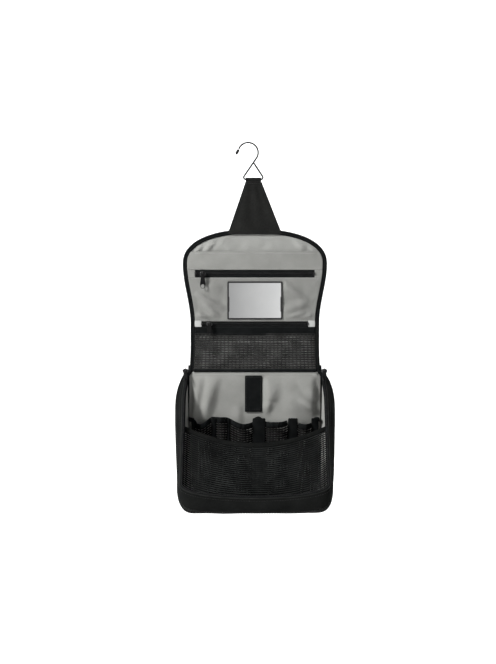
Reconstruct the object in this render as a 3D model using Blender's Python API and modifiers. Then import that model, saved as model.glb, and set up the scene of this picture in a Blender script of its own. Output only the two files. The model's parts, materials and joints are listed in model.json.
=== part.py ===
"""Hanging toiletry bag: a wire hook, a fabric hanger, a stiff lid and a wedge-shaped tub, joined by sewn folds.

Metres, +Z up. The bag hangs open with its lid flat above the tub, and faces -Y. The origin is the point where the
hook's crown rests on a rail. "v" below is a height above the fold between the lid and the tub. "s" is a distance
from the fold down the tub's slanting opening, and "n" is a depth below that opening.
"""
import math

import bpy
from mathutils import Matrix, Vector

# ---- driving dimensions -------------------------------------------------------------------------------------------
CENTRE_X = 0.0100            # the bag's middle plane, to the right of the hang point
FOLD_Z = -0.3384             # height of the fold between the lid and the tub
GAP = 0.0004                 # clearance between neighbouring pieces

LID_LENGTH = 0.212
LID_WAIST = 0.0955           # half widths of the lid
LID_SHOULDER = 0.1072
LID_FLARE = 0.0018           # extra half width at the fold
LID_FLARE_TOP = 0.038
LID_WAIST_TOP = 0.072
LID_SHOULDER_V = 0.160
LID_DOME_POWER = 2.3

OPENING_ANGLE = math.radians(30.2)   # the tub's opening plane leans this far off its back
FOLD_Y = -0.0030                     # the fold's axis
RIM_DEPTH = 0.0033                   # the tub's rim lies this far below the opening plane
RIM_START = 0.0035
RIM_HALF_TOP = 0.1030
RIM_HALF = 0.1062
RIM_WIDEN_LENGTH = 0.045
RIM_SIDE_END = 0.176
RIM_ROUNDING = 0.0225
RIM_POWER = 2.3              # the lower corners of the rim are a little squarer than an ellipse
TUB_HEIGHT = 0.1920
TUB_BACK_HALF = 0.0980
TUB_BACK_Y = 0.0030
TUB_TOP_V = -0.0035
TUB_CORNER = 0.028           # radius of the back's lower corners
TUB_SHOULDER_HALF = 0.1022   # half width of the wall at the fold
TUB_WIDE_HALF = 0.1160       # and where it bows out furthest
TUB_SHOULDER_LENGTH = 0.055
TUB_SHOULDER_POWER = 2.8
TUB_TAPER = 0.0050           # the wall draws in again by this much above the lower corners
TUB_FLOOR_V = -0.1955        # the lowest edge, under the lip
TUB_FLOOR_Y = -0.0940
LOWER_CORNER_HALF = 0.080    # where the rounded lower corners begin
LOWER_CORNER_POWER = 3.0
FRONT_BAND_SIDE = 0.014
FRONT_BAND_BOTTOM = 0.026
SHELL = 0.0015               # shell fabric with its padding
LINING = 0.0007
LINING_GAP = 0.0016          # from the shell to the middle of the lining
LINING_START = 0.035         # the gusset's lining begins this share of the side below the fold

COIL_RADIUS = 0.0010
COIL_INSET = 0.0030          # from the tub's rim to the middle of its zip coil
ZIP_TAPE = 0.0068            # width of the black edge around the lid
MAIN_SLIDER_X = 0.1026
MAIN_SLIDER_S = -0.0020
MAIN_SLIDER_DEPTH = 0.0004
SLIDER_HALF_THICKNESS = 0.0013
SLIDER_HALF_WIDTH = 0.0042
SLIDER_HALF_HEIGHT = 0.0040
SLIDER_CLEARANCE = 0.0006    # from the coil's face to the slider
PULL_HALF_THICKNESS = 0.0006
PULL_HALF_WIDTH = 0.0036
PULL_LENGTH = 0.0195
PULL_STEM = 0.0010           # from the slider's face to the middle of its pull
TOP_PULL_HALF_WIDTH = 0.0041
TOP_PULL_LENGTH = 0.0240
TOP_ZIP_V = 0.1455
TOP_ZIP_HEIGHT = 0.0108
TOP_ZIP_HALF = 0.089
TOP_SLIDER_X = -0.077
LOW_ZIP_V = 0.0713
LOW_ZIP_HEIGHT = 0.0078
LOW_ZIP_HALF = 0.0795
LOW_SLIDER_X = -0.067
SLIP_EDGE_V = 0.178
FACING_V = 0.053
LID_MESH_FOOT_V = 0.0020
BOARD_INSET = 0.0020         # from a shell's edge to its stiffener's

MIRROR_HALF = 0.0408
MIRROR_TOP_V = 0.134
MIRROR_BOTTOM_V = 0.0778
MIRROR_BORDER = 0.0022

HOOK_WIRE = 0.00135          # wire radius
CROOK_RADIUS = 0.0148
CROOK_X = -0.0100            # from the bag's middle plane
BAR_V = 0.2850
HANGER_FOOT_V = 0.2128
HANGER_FOOT_HALF = 0.0390
HANGER_TOP_V = 0.2817
SLEEVE_LEFT = -0.0136
SLEEVE_RIGHT = 0.0092
SLEEVE_RADIUS = 0.0031
HANGER_HALF_THICKNESS = 0.0010

MESH_DEPTH = 0.0110          # how far the front mesh lies below the opening plane
MESH_HALF = 0.1040
MESH_SIDE_S = 0.090
MESH_SAG = 0.027
BINDING = 0.0080
ORGANISER_TOP_V = -0.0710
POCKET_DEPTH = 0.0115
# centre and half width of each upright tape that divides the organiser, from left to right
DIVIDERS = ((-0.0915, 0.0020), (-0.0610, 0.0035), (-0.0390, 0.0020), (0.0060, 0.0095), (0.0560, 0.0070),
            (0.0885, 0.0050))
STRAP_X = -0.0020
STRAP_HALF = 0.0127
STRAP_TOP_V = -0.0055
STRAP_FOOT_V = -0.0590

# y of the back and the front of each layer of the lid and of the tub's back
OUTER_LAYER = (0.0030, 0.0018)
BOARD_LAYER = (0.0014, 0.0004)
LINING_LAYER = (0.0000, -0.0007)
FACE_LAYER = (-0.0011, -0.0019)
COIL_LAYER = (-0.0022, -0.0031)
STRAP_LAYER = (-0.0013, -0.0023)

BLACK = ("black_fabric", (0.030, 0.031, 0.030), 0.85, 0.0)
BLACK_TAPE = ("black_webbing", (0.022, 0.022, 0.023), 0.8, 0.0)
GREY = ("grey_lining", (0.47, 0.47, 0.45), 0.75, 0.0)
MESH = ("black_mesh", (0.05, 0.05, 0.05), 0.8, 0.0)
BOARD = ("stiffener_board", (0.55, 0.55, 0.52), 0.6, 0.0)
COIL = ("zip_coil", (0.018, 0.018, 0.019), 0.45, 0.0)
METAL = ("zip_metal", (0.06, 0.06, 0.062), 0.35, 0.8)
WIRE = ("hook_wire", (0.12, 0.12, 0.125), 0.35, 0.9)
CAP = ("hook_cap", (0.05, 0.05, 0.052), 0.6, 0.0)
GLASS = ("mirror_glass", (0.80, 0.81, 0.82), 0.05, 1.0)
FRAME = ("mirror_frame", (0.03, 0.03, 0.03), 0.5, 0.0)


# ---- scene and helpers --------------------------------------------------------------------------------------------
for old in list(bpy.data.objects):
    bpy.data.objects.remove(old, do_unlink=True)

collection = bpy.data.collections.new("hanging_toiletry_bag")
bpy.context.scene.collection.children.link(collection)


def material(spec):
    name, colour, roughness, metallic = spec
    found = bpy.data.materials.get(name)
    if found:
        return found
    made = bpy.data.materials.new(name)
    made.use_nodes = True
    shader = made.node_tree.nodes["Principled BSDF"]
    shader.inputs["Base Color"].default_value = (*colour, 1.0)
    shader.inputs["Roughness"].default_value = roughness
    shader.inputs["Metallic"].default_value = metallic
    return made


def add(name, data, spec):
    piece = bpy.data.objects.new(name, data)
    data.materials.append(material(spec))
    collection.objects.link(piece)
    return piece


def lerp(a, b, t):
    return a + (b - a) * t


def smooth(t):
    t = min(1.0, max(0.0, t))
    return t * t * (3.0 - 2.0 * t)


def steps(count):
    return [i / count for i in range(count + 1)]


def poly_spline(curve, points, cyclic=False):
    spline = curve.splines.new("POLY")
    spline.points.add(len(points) - 1)
    for target, point in zip(spline.points, points):
        target.co = (*point, 0.0, 1.0) if len(point) == 2 else (*point, 1.0)
    spline.use_cyclic_u = cyclic


def plate(name, outlines, back, front, spec, angle=math.pi / 2, origin=(CENTRE_X, 0.0, FOLD_Z)):
    """A flat piece from outlines of (across, up), between two distances along its face's normal."""
    curve = bpy.data.curves.new(name, "CURVE")
    curve.dimensions = "2D"
    curve.fill_mode = "BOTH"
    curve.extrude = abs(front - back) / 2
    curve.resolution_u = 1
    curve.render_resolution_u = 0
    for outline in outlines:
        poly_spline(curve, outline, cyclic=True)
    piece = add(name, curve, spec)
    turn = Matrix.Rotation(angle, 4, "X")
    piece.matrix_world = Matrix.Translation(origin) @ turn @ Matrix.Translation((0, 0, (front + back) / 2))
    return piece


def upright(name, outlines, layer, spec):
    """A flat piece that faces -Y, from outlines of (x, v) about the fold. layer is its back and front y."""
    return plate(name, outlines, -layer[0], -layer[1], spec)


def tube(name, points, radius, spec, bevel_resolution=2):
    curve = bpy.data.curves.new(name, "CURVE")
    curve.dimensions = "3D"
    curve.bevel_depth = radius
    curve.bevel_resolution = bevel_resolution
    curve.use_fill_caps = True
    curve.resolution_u = 1
    curve.render_resolution_u = 0
    poly_spline(curve, [tuple(p) for p in points])
    return add(name, curve, spec)


def curved_sheet(name, rows, thickness, spec):
    """A curved fabric piece, from rows of points on its middle surface."""
    columns = len(rows[0])
    points = [tuple(p) for row in rows for p in row]
    quads = [(i * columns + j, i * columns + j + 1, (i + 1) * columns + j + 1, (i + 1) * columns + j)
             for i in range(len(rows) - 1) for j in range(columns - 1)]
    mesh = bpy.data.meshes.new(name)
    mesh.from_pydata(points, [], quads)
    piece = add(name, mesh, spec)
    solid = piece.modifiers.new("thickness", "SOLIDIFY")
    solid.thickness = thickness
    solid.offset = 0.0
    return piece


def rectangle(x0, x1, v0, v1):
    return [(x0, v0), (x1, v0), (x1, v1), (x0, v1)]


def rounded_route(corners, radius, count=5):
    """A route through corners, each one turned into an arc-like bend."""
    route = [Vector(corners[0])]
    for before, corner, after in zip(corners, corners[1:-1], corners[2:]):
        corner = Vector(corner)
        start = corner + (Vector(before) - corner).normalized() * radius
        end = corner + (Vector(after) - corner).normalized() * radius
        for t in steps(count):
            route.append(start.lerp(corner, t).lerp(corner.lerp(end, t), t))
    route.append(Vector(corners[-1]))
    return route


# ---- lid outline --------------------------------------------------------------------------------------------------
def lid_half_outline():
    """Half of the lid's edge, from the fold up to the top of the dome."""
    points = []
    for t in steps(3)[:-1]:
        v = LID_FLARE_TOP * t + 0.001
        points.append((LID_WAIST + LID_FLARE * (1 - t) ** 2, v))
    points += [(LID_WAIST, LID_FLARE_TOP), (LID_WAIST, lerp(LID_FLARE_TOP, LID_WAIST_TOP, 0.5))]
    for t in steps(7)[:-1]:
        points.append((lerp(LID_WAIST, LID_SHOULDER, smooth(t)), lerp(LID_WAIST_TOP, LID_SHOULDER_V, t)))
    for t in steps(14):
        angle = t * math.pi / 2
        power = 2 / LID_DOME_POWER
        points.append((LID_SHOULDER * max(0.0, math.cos(angle)) ** power,
                       LID_SHOULDER_V + (LID_LENGTH - LID_SHOULDER_V) * math.sin(angle) ** power))
    return points


def lid_edge(inset):
    """The lid's edge from the right of the fold, over the dome, to the left of the fold, moved inwards."""
    half = lid_half_outline()
    full = half + [(-x, v) for x, v in reversed(half[:-1])]
    moved = []
    for i, (x, v) in enumerate(full):
        before = Vector(full[max(0, i - 1)])
        after = Vector(full[min(len(full) - 1, i + 1)])
        along = (after - before).normalized()
        if i in (0, len(full) - 1):
            along = Vector((0.0, math.copysign(1.0, after.y - before.y)))
        moved.append((x - along.y * inset, v + along.x * inset))
    return moved


def lid_half_width(v, inset):
    edge = [p for p in lid_edge(inset) if p[0] > 0]
    for low, high in zip(edge, edge[1:]):
        if low[1] <= v <= high[1]:
            return lerp(low[0], high[0], (v - low[1]) / (high[1] - low[1]))
    return edge[0][0]


def lid_panel(inset, v_low, v_high):
    """The stretch of the lid's face between two heights, as a closed outline."""
    inside = [p for p in lid_edge(inset) if v_low < p[1] < v_high]
    right = [p for p in inside if p[0] > 0.0005]
    left = [p for p in inside if p[0] < -0.0005]
    low = lid_half_width(v_low, inset)
    high = lid_half_width(v_high, inset)
    return [(low, v_low)] + right + [(high, v_high), (-high, v_high)] + left + [(-low, v_low)]


# ---- tub surface --------------------------------------------------------------------------------------------------
def slant(x, s, n):
    """A point of the tub from its place on the opening plane and its depth below that plane."""
    sin_a = math.sin(OPENING_ANGLE)
    cos_a = math.cos(OPENING_ANGLE)
    return Vector((CENTRE_X + x, FOLD_Y - s * sin_a + n * cos_a, FOLD_Z - s * cos_a - n * sin_a))


def rim_point(u, inset=0.0):
    """The tub's rim: u runs 0 to 1 down a side, 1 to 3 round the corner to the middle of the lip."""
    if u <= 1.0:
        s = lerp(RIM_START, RIM_SIDE_END, u)
        return slant(lerp(RIM_HALF_TOP, RIM_HALF, smooth(s / RIM_WIDEN_LENGTH)) - inset, s, RIM_DEPTH)
    angle = (u - 1.0) * math.pi / 4
    power = 2 / RIM_POWER
    return slant((RIM_HALF - inset) * max(0.0, math.cos(angle)) ** power,
                 RIM_SIDE_END + (RIM_ROUNDING - inset) * math.sin(angle) ** power, RIM_DEPTH)


def back_point(u, inset=0.0):
    """The back edge of the tub's wall, with the same u."""
    half = TUB_BACK_HALF - inset
    corner = TUB_CORNER - inset
    bottom = -(TUB_HEIGHT - inset)
    if u <= 1.0:
        x, v = half, lerp(TUB_TOP_V, bottom + corner, u)
    elif u <= 2.0:
        angle = (u - 1.0) * math.pi / 2
        x, v = half - corner * (1 - math.cos(angle)), bottom + corner * (1 - math.sin(angle))
    else:
        x, v = (half - corner) * (3.0 - u), bottom
    return Vector((CENTRE_X + x, TUB_BACK_Y, FOLD_Z + v))


def wall_middle(u, start, end):
    """The middle of the wall, which sets the tub's outline as seen from the front."""
    if u <= 1.0:
        middle = (start + end) / 2
        drop = min(1.0, (FOLD_Z - middle.z) / TUB_SHOULDER_LENGTH)
        widening = (TUB_WIDE_HALF - TUB_SHOULDER_HALF) * (1 - (1 - drop) ** TUB_SHOULDER_POWER)
        middle.x = CENTRE_X + TUB_SHOULDER_HALF + widening - TUB_TAPER * u ** 4
    else:
        side = wall_middle(1.0, back_point(1.0), rim_point(1.0))
        corner_x = CENTRE_X + LOWER_CORNER_HALF
        angle = min(1.0, u - 1.0) * math.pi / 2
        power = 2 / LOWER_CORNER_POWER
        middle = (start + end) / 2
        middle.x = corner_x + (side.x - corner_x) * max(0.0, math.cos(angle)) ** power
        middle.z = side.z + (FOLD_Z + TUB_FLOOR_V - side.z) * math.sin(angle) ** power
        if u > 2.0:
            middle.x = CENTRE_X + LOWER_CORNER_HALF * (3.0 - u)
    middle.y = lerp(middle.y, TUB_FLOOR_Y, smooth(u - 0.9))
    return middle


def wall_path(u, samples=40):
    """The wall from the back edge to the rim: a soft bow at the sides, a tighter turn under the lip."""
    start = back_point(u)
    end = rim_point(u)
    power = 2 / lerp(2.0, 4.0, smooth(u - 0.9))
    share = 1 - math.sqrt(0.5) ** power
    knee = (wall_middle(u, start, end) - share * (start + end)) / (1 - 2 * share)
    path = []
    for t in steps(samples):
        angle = t * math.pi / 2
        path.append(start + (knee - start) * math.sin(angle) ** power
                    + (end - knee) * (1 - max(0.0, math.cos(angle)) ** power))
    return path


def path_length(path):
    return sum((b - a).length for a, b in zip(path, path[1:]))


def along_path(path, distance):
    for a, b in zip(path, path[1:]):
        step = (b - a).length
        if distance <= step:
            return a.lerp(b, distance / step)
        distance -= step
    return path[-1]


def wall_point(u, distance, inward):
    """A point on the tub's wall, a distance from the back edge, moved towards the inside."""
    path = wall_path(u)
    point = along_path(path, distance)
    ahead = along_path(path, distance + 0.002) - along_path(path, max(0.0, distance - 0.002))
    near = min(3.0, u + 0.03)
    far = max(0.0, u - 0.03)
    across = along_path(wall_path(near), distance) - along_path(wall_path(far), distance)
    normal = across.cross(ahead)
    normal.normalize()
    return point + normal * inward


def stations(first=0.0):
    """Values of u along half of the tub's outline."""
    side = [lerp(first, 1.0, t ** 1.3) for t in steps(9)]
    corner = [1.0 + t for t in steps(6)[1:]]
    bottom = [2.0 + t for t in steps(3)[1:]]
    return side + corner + bottom


def band_width(u):
    """Width of the front band below the rim."""
    wanted = lerp(FRONT_BAND_SIDE, FRONT_BAND_BOTTOM, smooth(u - 0.9))
    return min(wanted, 0.45 * path_length(wall_path(u)))


def mirrored(point):
    return Vector((2 * CENTRE_X - point.x, point.y, point.z))


def tub_wall(name, first, last, depth, thickness, count, spec, start=0.0):
    """A piece of the tub's wall. first and last give its edges' distances from the back edge for a u."""
    half = []
    for u in stations(start):
        row = [wall_point(u, lerp(first(u), last(u), t), depth) for t in steps(count)]
        half.append(row)
    rows = half + [[mirrored(p) for p in row] for row in reversed(half[:-1])]
    for row in rows[len(half) - 1:len(half)]:
        for point in row:
            point.x = CENTRE_X
    return curved_sheet(name, rows, thickness, spec)


# ---- hook ---------------------------------------------------------------------------------------------------------
def hook():
    crown_z = HOOK_WIRE
    centre = Vector((0.0, 0.0, crown_z - CROOK_RADIUS))
    tip_angle = math.radians(146)
    leg_angle = math.radians(-33)
    crook = []
    for t in steps(22):
        angle = lerp(tip_angle, leg_angle, t)
        crook.append(centre + CROOK_RADIUS * Vector((math.cos(angle), 0.0, math.sin(angle))))
    bar_z = FOLD_Z + BAR_V
    left = CENTRE_X + SLEEVE_LEFT
    right = CENTRE_X + SLEEVE_RIGHT
    bend = 0.0014
    corners = [crook[-1],
               Vector((left - 0.0035, 0.0, bar_z + 0.0034)),
               Vector((left - 0.0012, 0.0, bar_z)),
               Vector((right + 0.0012, 0.0, bar_z)),
               Vector((right + 0.0030, 0.0, bar_z + 0.0034)),
               Vector((CENTRE_X - 0.0014, 0.0030, bar_z + 0.0247))]
    leg = rounded_route(corners, bend)
    tip_run = Vector((-0.45, 0.0, -0.89)).normalized()
    wire_end = crook[0] + tip_run * 0.0032
    tube("hook_wire", [wire_end] + crook + leg[1:], HOOK_WIRE, WIRE)
    cap_start = wire_end + tip_run * GAP
    tube("hook_tip_cap", [cap_start, cap_start + tip_run * 0.0090], 0.0022, CAP, 4)


# ---- hanger -------------------------------------------------------------------------------------------------------
def hanger():
    upright("hanger_panel",
            [[(-HANGER_FOOT_HALF, HANGER_FOOT_V), (HANGER_FOOT_HALF, HANGER_FOOT_V),
              (SLEEVE_RIGHT + 0.0006, HANGER_TOP_V), (SLEEVE_LEFT - 0.0006, HANGER_TOP_V)]],
            (HANGER_HALF_THICKNESS, -HANGER_HALF_THICKNESS), BLACK)
    curve = bpy.data.curves.new("hanger_sleeve", "CURVE")
    curve.dimensions = "2D"
    curve.fill_mode = "BOTH"
    curve.extrude = (SLEEVE_RIGHT - SLEEVE_LEFT) / 2
    curve.render_resolution_u = 0
    for radius in (SLEEVE_RADIUS, HOOK_WIRE + GAP):
        ring = [(radius * math.cos(2 * math.pi * i / 20), radius * math.sin(2 * math.pi * i / 20))
                for i in range(20)]
        poly_spline(curve, ring, cyclic=True)
    sleeve = add("hanger_sleeve", curve, BLACK)
    sleeve.rotation_euler = (0.0, math.pi / 2, 0.0)
    sleeve.location = (CENTRE_X + (SLEEVE_LEFT + SLEEVE_RIGHT) / 2, 0.0, FOLD_Z + BAR_V)


# ---- lid ----------------------------------------------------------------------------------------------------------
def lid_layers():
    inner = ZIP_TAPE + GAP
    upright("lid_outer", [lid_edge(inner)], OUTER_LAYER, BLACK)
    upright("lid_stiffener", [lid_edge(inner + BOARD_INSET)], BOARD_LAYER, BOARD)
    upright("lid_lining", [lid_edge(inner)], LINING_LAYER, GREY)
    band = lid_edge(2 * COIL_RADIUS + GAP) + list(reversed(lid_edge(ZIP_TAPE)))
    upright("lid_zip_tape", [band], (OUTER_LAYER[0], COIL_LAYER[0]), BLACK_TAPE)
    path = [(CENTRE_X + x, 0.0004, FOLD_Z + v) for x, v in lid_edge(COIL_RADIUS)]
    tube("lid_zip_coil", path, COIL_RADIUS, COIL)


def lid_pockets():
    inner = ZIP_TAPE + GAP
    zip_low = TOP_ZIP_V - TOP_ZIP_HEIGHT / 2
    zip_high = TOP_ZIP_V + TOP_ZIP_HEIGHT / 2
    low_zip_low = LOW_ZIP_V - LOW_ZIP_HEIGHT / 2
    low_zip_high = LOW_ZIP_V + LOW_ZIP_HEIGHT / 2
    slip = lid_panel(inner, zip_low, SLIP_EDGE_V)
    window = [(-TOP_ZIP_HALF - GAP, zip_low), (-TOP_ZIP_HALF - GAP, zip_high + GAP),
              (TOP_ZIP_HALF + GAP, zip_high + GAP), (TOP_ZIP_HALF + GAP, zip_low)]
    upright("slip_pocket_panel", [slip + window], FACE_LAYER, GREY)
    upright("top_pocket_panel", [lid_panel(inner, low_zip_high + GAP, zip_low - GAP)], FACE_LAYER, GREY)
    tab_half = lid_half_width(low_zip_low, inner) - GAP
    for side, sign in (("left", -1), ("right", 1)):
        ends = sorted((sign * (LOW_ZIP_HALF + GAP), sign * tab_half))
        upright(f"low_zip_end_tab_{side}", [rectangle(*ends, low_zip_low, low_zip_high)], FACE_LAYER, GREY)
    upright("mesh_pocket_facing", [lid_panel(inner, FACING_V, low_zip_low - GAP)], FACE_LAYER, BLACK_TAPE)
    upright("lid_mesh_panel", [lid_panel(inner, LID_MESH_FOOT_V, FACING_V - GAP)], FACE_LAYER, MESH)


def pocket_zip(prefix, v, height, half, slider_x, pull_size):
    """A closed coil zip with its two end stops, its slider and the slider's pull."""
    upright(f"{prefix}_zip_tape", [rectangle(-half, half, v - height / 2, v + height / 2)], FACE_LAYER, BLACK_TAPE)
    stop = 0.0022
    coil_half = 0.0015
    upright(f"{prefix}_zip_coil", [rectangle(-half + stop + GAP, half - stop - GAP, v - coil_half, v + coil_half)],
            COIL_LAYER, COIL)
    for side, sign in (("left", -1), ("right", 1)):
        ends = sorted((sign * half, sign * (half - stop)))
        upright(f"{prefix}_zip_stop_{side}", [rectangle(*ends, v - stop, v + stop)],
                (COIL_LAYER[0], COIL_LAYER[1] - 0.0003), METAL)
    middle_y = COIL_LAYER[1] - SLIDER_CLEARANCE - SLIDER_HALF_THICKNESS
    pivot_y = middle_y - SLIDER_HALF_THICKNESS - PULL_STEM
    slider(f"{prefix}_zip_slider", Vector((CENTRE_X + slider_x, middle_y, FOLD_Z + v)), 0.0)
    pull(f"{prefix}_zip_pull", Vector((CENTRE_X + slider_x, pivot_y, FOLD_Z + v + PULL_STEM)), 0.0, pull_size)


def slider(name, centre, tilt):
    """A zip slider's body: a waisted block with soft edges."""
    outline = [(SLIDER_HALF_WIDTH * math.cos(a) * (1 + 0.12 * math.cos(2 * a)), SLIDER_HALF_HEIGHT * math.sin(a))
               for a in [2 * math.pi * i / 20 for i in range(20)]]
    plate(name, [outline], -SLIDER_HALF_THICKNESS, SLIDER_HALF_THICKNESS, METAL, math.pi / 2 - tilt, centre)


def pull(name, pivot, tilt, size):
    """A pull tab that hangs from its pivot, with a round eye near its free end."""
    half, length = size
    eye_radius = half - 0.0016
    neck_half = 0.0022
    neck_top = 0.0008
    shoulder = -0.0040
    eye_centre = half - length
    tip = [(half * math.cos(a), eye_centre + half * math.sin(a)) for a in [-math.pi * i / 10 for i in range(11)]]
    neck = [(-half, shoulder), (-neck_half, neck_top), (neck_half, neck_top), (half, shoulder)]
    eye = [(eye_radius * math.cos(a), eye_centre + eye_radius * math.sin(a))
           for a in [2 * math.pi * i / 12 for i in range(12)]]
    plate(name, [tip + neck, eye], -PULL_HALF_THICKNESS, PULL_HALF_THICKNESS, METAL, math.pi / 2 - tilt, pivot)


def mirror():
    outer = rectangle(-MIRROR_HALF, MIRROR_HALF, MIRROR_BOTTOM_V, MIRROR_TOP_V)
    inner = rectangle(-MIRROR_HALF + MIRROR_BORDER, MIRROR_HALF - MIRROR_BORDER,
                      MIRROR_BOTTOM_V + MIRROR_BORDER, MIRROR_TOP_V - MIRROR_BORDER)
    edge = MIRROR_BORDER + GAP
    glass = rectangle(-MIRROR_HALF + edge, MIRROR_HALF - edge, MIRROR_BOTTOM_V + edge, MIRROR_TOP_V - edge)
    back = COIL_LAYER[0]
    upright("mirror_frame", [outer, inner], (back, back - 0.0011), FRAME)
    upright("mirror_glass", [glass], (back, back - 0.0008), GLASS)


# ---- tub ----------------------------------------------------------------------------------------------------------
def back_outline(inset, top_v):
    """A closed outline inside the tub's back edge, of (x, v)."""
    half = []
    for u in [0.0, 0.5] + [1.0 + t for t in steps(7)]:
        point = back_point(u, inset)
        half.append((point.x - CENTRE_X, max(min(point.z - FOLD_Z, top_v), -1.0)))
    half[0] = (half[0][0], top_v)
    return half + [(-x, v) for x, v in reversed(half)]


def tub():
    upright("back_panel", [back_outline(0.0021, TUB_TOP_V)], OUTER_LAYER, BLACK)
    upright("back_stiffener", [back_outline(0.0045, TUB_TOP_V - BOARD_INSET)], BOARD_LAYER, BOARD)
    upright("back_lining", [back_outline(0.0038, TUB_TOP_V)], LINING_LAYER, GREY)
    tape_half = 0.0930
    tape_top_v = -0.0006
    upright("fold_tape", [rectangle(-tape_half, tape_half, TUB_TOP_V + GAP, tape_top_v)], OUTER_LAYER, BLACK_TAPE)

    def rim_edge(u):
        return path_length(wall_path(u)) - GAP

    def band_edge(u):
        return path_length(wall_path(u)) - band_width(u)

    seam = 0.0006
    tub_wall("gusset", lambda u: 0.0, lambda u: band_edge(u) - seam, SHELL / 2, SHELL, 11, BLACK)
    tub_wall("front_band", lambda u: band_edge(u) + seam, rim_edge, SHELL / 2, SHELL, 6, BLACK)
    hem = 0.0026
    tub_wall("gusset_lining", lambda u: hem, lambda u: rim_edge(u) - hem, SHELL + LINING_GAP, LINING, 15, GREY,
             LINING_START)

    def rim(inset):
        right = [rim_point(u, inset) for u in stations()]
        return right + [mirrored(p) for p in reversed(right[:-1])]

    tape_width = COIL_INSET - COIL_RADIUS - 2 * GAP
    curved_sheet("body_zip_tape", [rim(GAP), rim(GAP + tape_width)], LINING, BLACK_TAPE)
    tube("body_zip_coil", rim(COIL_INSET), COIL_RADIUS, COIL)


def mesh_top_s(x):
    """How far down the opening the front mesh pocket's sagging edge lies."""
    return MESH_SIDE_S + MESH_SAG * (1 - (x / MESH_HALF) ** 2)


def front_mesh():
    across = [lerp(-MESH_HALF, MESH_HALF, t) for t in steps(14)]
    foot = [(MESH_HALF * math.cos(a), -(RIM_SIDE_END - 0.004 + (RIM_ROUNDING + 0.006) * math.sin(a)))
            for a in [math.pi * i / 20 for i in range(21)]]
    tilt = math.pi / 2 - OPENING_ANGLE
    origin = (CENTRE_X, FOLD_Y, FOLD_Z)
    panel = [(x, -mesh_top_s(x) - GAP) for x in across] + foot
    plate("front_mesh_pocket", [panel], -MESH_DEPTH - 0.0008, -MESH_DEPTH, MESH, tilt, origin)
    band = [(x, -mesh_top_s(x)) for x in across] + [(x, -mesh_top_s(x) + BINDING) for x in reversed(across)]
    plate("front_mesh_binding", [band], -MESH_DEPTH - 0.0012, -MESH_DEPTH + 0.0006, BLACK_TAPE, tilt, origin)


def pocket_bow(x):
    """How far the organiser stands off the lining: snug at each divider, full between two."""
    for (left, left_half), (right, right_half) in zip(DIVIDERS, DIVIDERS[1:]):
        start = left + left_half + 0.0008
        end = right - right_half - 0.0008
        if start < x < end:
            t = (x - start) / (end - start)
            reach = min(POCKET_DEPTH, 0.6 * (end - start))
            return 0.0022 + reach * 4 * t * (1 - t)
    return 0.0022


def organiser_columns():
    """Places across the organiser: the edges of each divider and a few points over each pocket."""
    columns = []
    for (left, left_half), (right, right_half) in zip(DIVIDERS, DIVIDERS[1:]):
        start = left + left_half + 0.0008
        end = right - right_half - 0.0008
        columns += [left - left_half] + [lerp(start, end, t) for t in steps(6)]
    last, last_half = DIVIDERS[-1]
    return columns + [last + last_half]


def organiser_foot(x):
    """The organiser's lower edge, which follows the tub's rounded corners."""
    radius = TUB_CORNER - 0.006
    reach = max(0.0, abs(x) - (TUB_BACK_HALF - TUB_CORNER))
    if reach >= radius:
        return -(TUB_HEIGHT - TUB_CORNER)
    return -(TUB_HEIGHT - TUB_CORNER) - math.sqrt(radius ** 2 - reach ** 2)


def organiser():
    face = -0.0007
    columns = organiser_columns()

    def sheet(name, low, high, thickness, spec):
        rows = []
        for t in steps(2):
            rows.append([Vector((CENTRE_X + x, face - pocket_bow(x), FOLD_Z + lerp(low(x), high, t)))
                         for x in columns])
        curved_sheet(name, rows, thickness, spec)

    sheet("organiser_mesh", organiser_foot, ORGANISER_TOP_V - BINDING - GAP, 0.0008, MESH)
    sheet("organiser_binding", lambda x: ORGANISER_TOP_V - BINDING, ORGANISER_TOP_V, 0.0012, BLACK_TAPE)
    tape_back = face - 0.0022 - 0.0006 - GAP
    for number, (x, half) in enumerate(DIVIDERS, start=1):
        foot = max(organiser_foot(x - half), organiser_foot(x + half))
        upright(f"divider_tape_{number}", [rectangle(x - half, x + half, foot, ORGANISER_TOP_V + 0.003)],
                (tape_back, tape_back - 0.0008), BLACK_TAPE)


def strap():
    upright("strap_tab", [rectangle(STRAP_X - STRAP_HALF, STRAP_X + STRAP_HALF, STRAP_FOOT_V, STRAP_TOP_V)],
            STRAP_LAYER, BLACK_TAPE)


def main_zip_sliders():
    """The main zip's two sliders, parked at the ends of the opened zip beside the fold."""
    for side, sign in (("left", -1), ("right", 1)):
        slider(f"main_zip_slider_{side}", slant(sign * MAIN_SLIDER_X, MAIN_SLIDER_S, MAIN_SLIDER_DEPTH), OPENING_ANGLE)
        pivot_depth = MAIN_SLIDER_DEPTH - SLIDER_HALF_THICKNESS - PULL_STEM
        pivot = slant(sign * MAIN_SLIDER_X, MAIN_SLIDER_S - PULL_STEM, pivot_depth)
        pull(f"main_zip_pull_{side}", pivot, OPENING_ANGLE, (PULL_HALF_WIDTH, PULL_LENGTH))


hook()
hanger()
lid_layers()
lid_pockets()
pocket_zip("top", TOP_ZIP_V, TOP_ZIP_HEIGHT, TOP_ZIP_HALF, TOP_SLIDER_X, (TOP_PULL_HALF_WIDTH, TOP_PULL_LENGTH))
pocket_zip("low", LOW_ZIP_V, LOW_ZIP_HEIGHT, LOW_ZIP_HALF, LOW_SLIDER_X, (PULL_HALF_WIDTH, PULL_LENGTH))
mirror()
tub()
front_mesh()
organiser()
strap()
main_zip_sliders()
bpy.context.view_layer.update()
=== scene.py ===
"""Looks of the hanging toiletry bag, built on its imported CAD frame. Metres, +Z up, the open bag faces -Y."""
import json
from math import copysign, cos, exp, pi, radians, sin, sqrt

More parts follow.
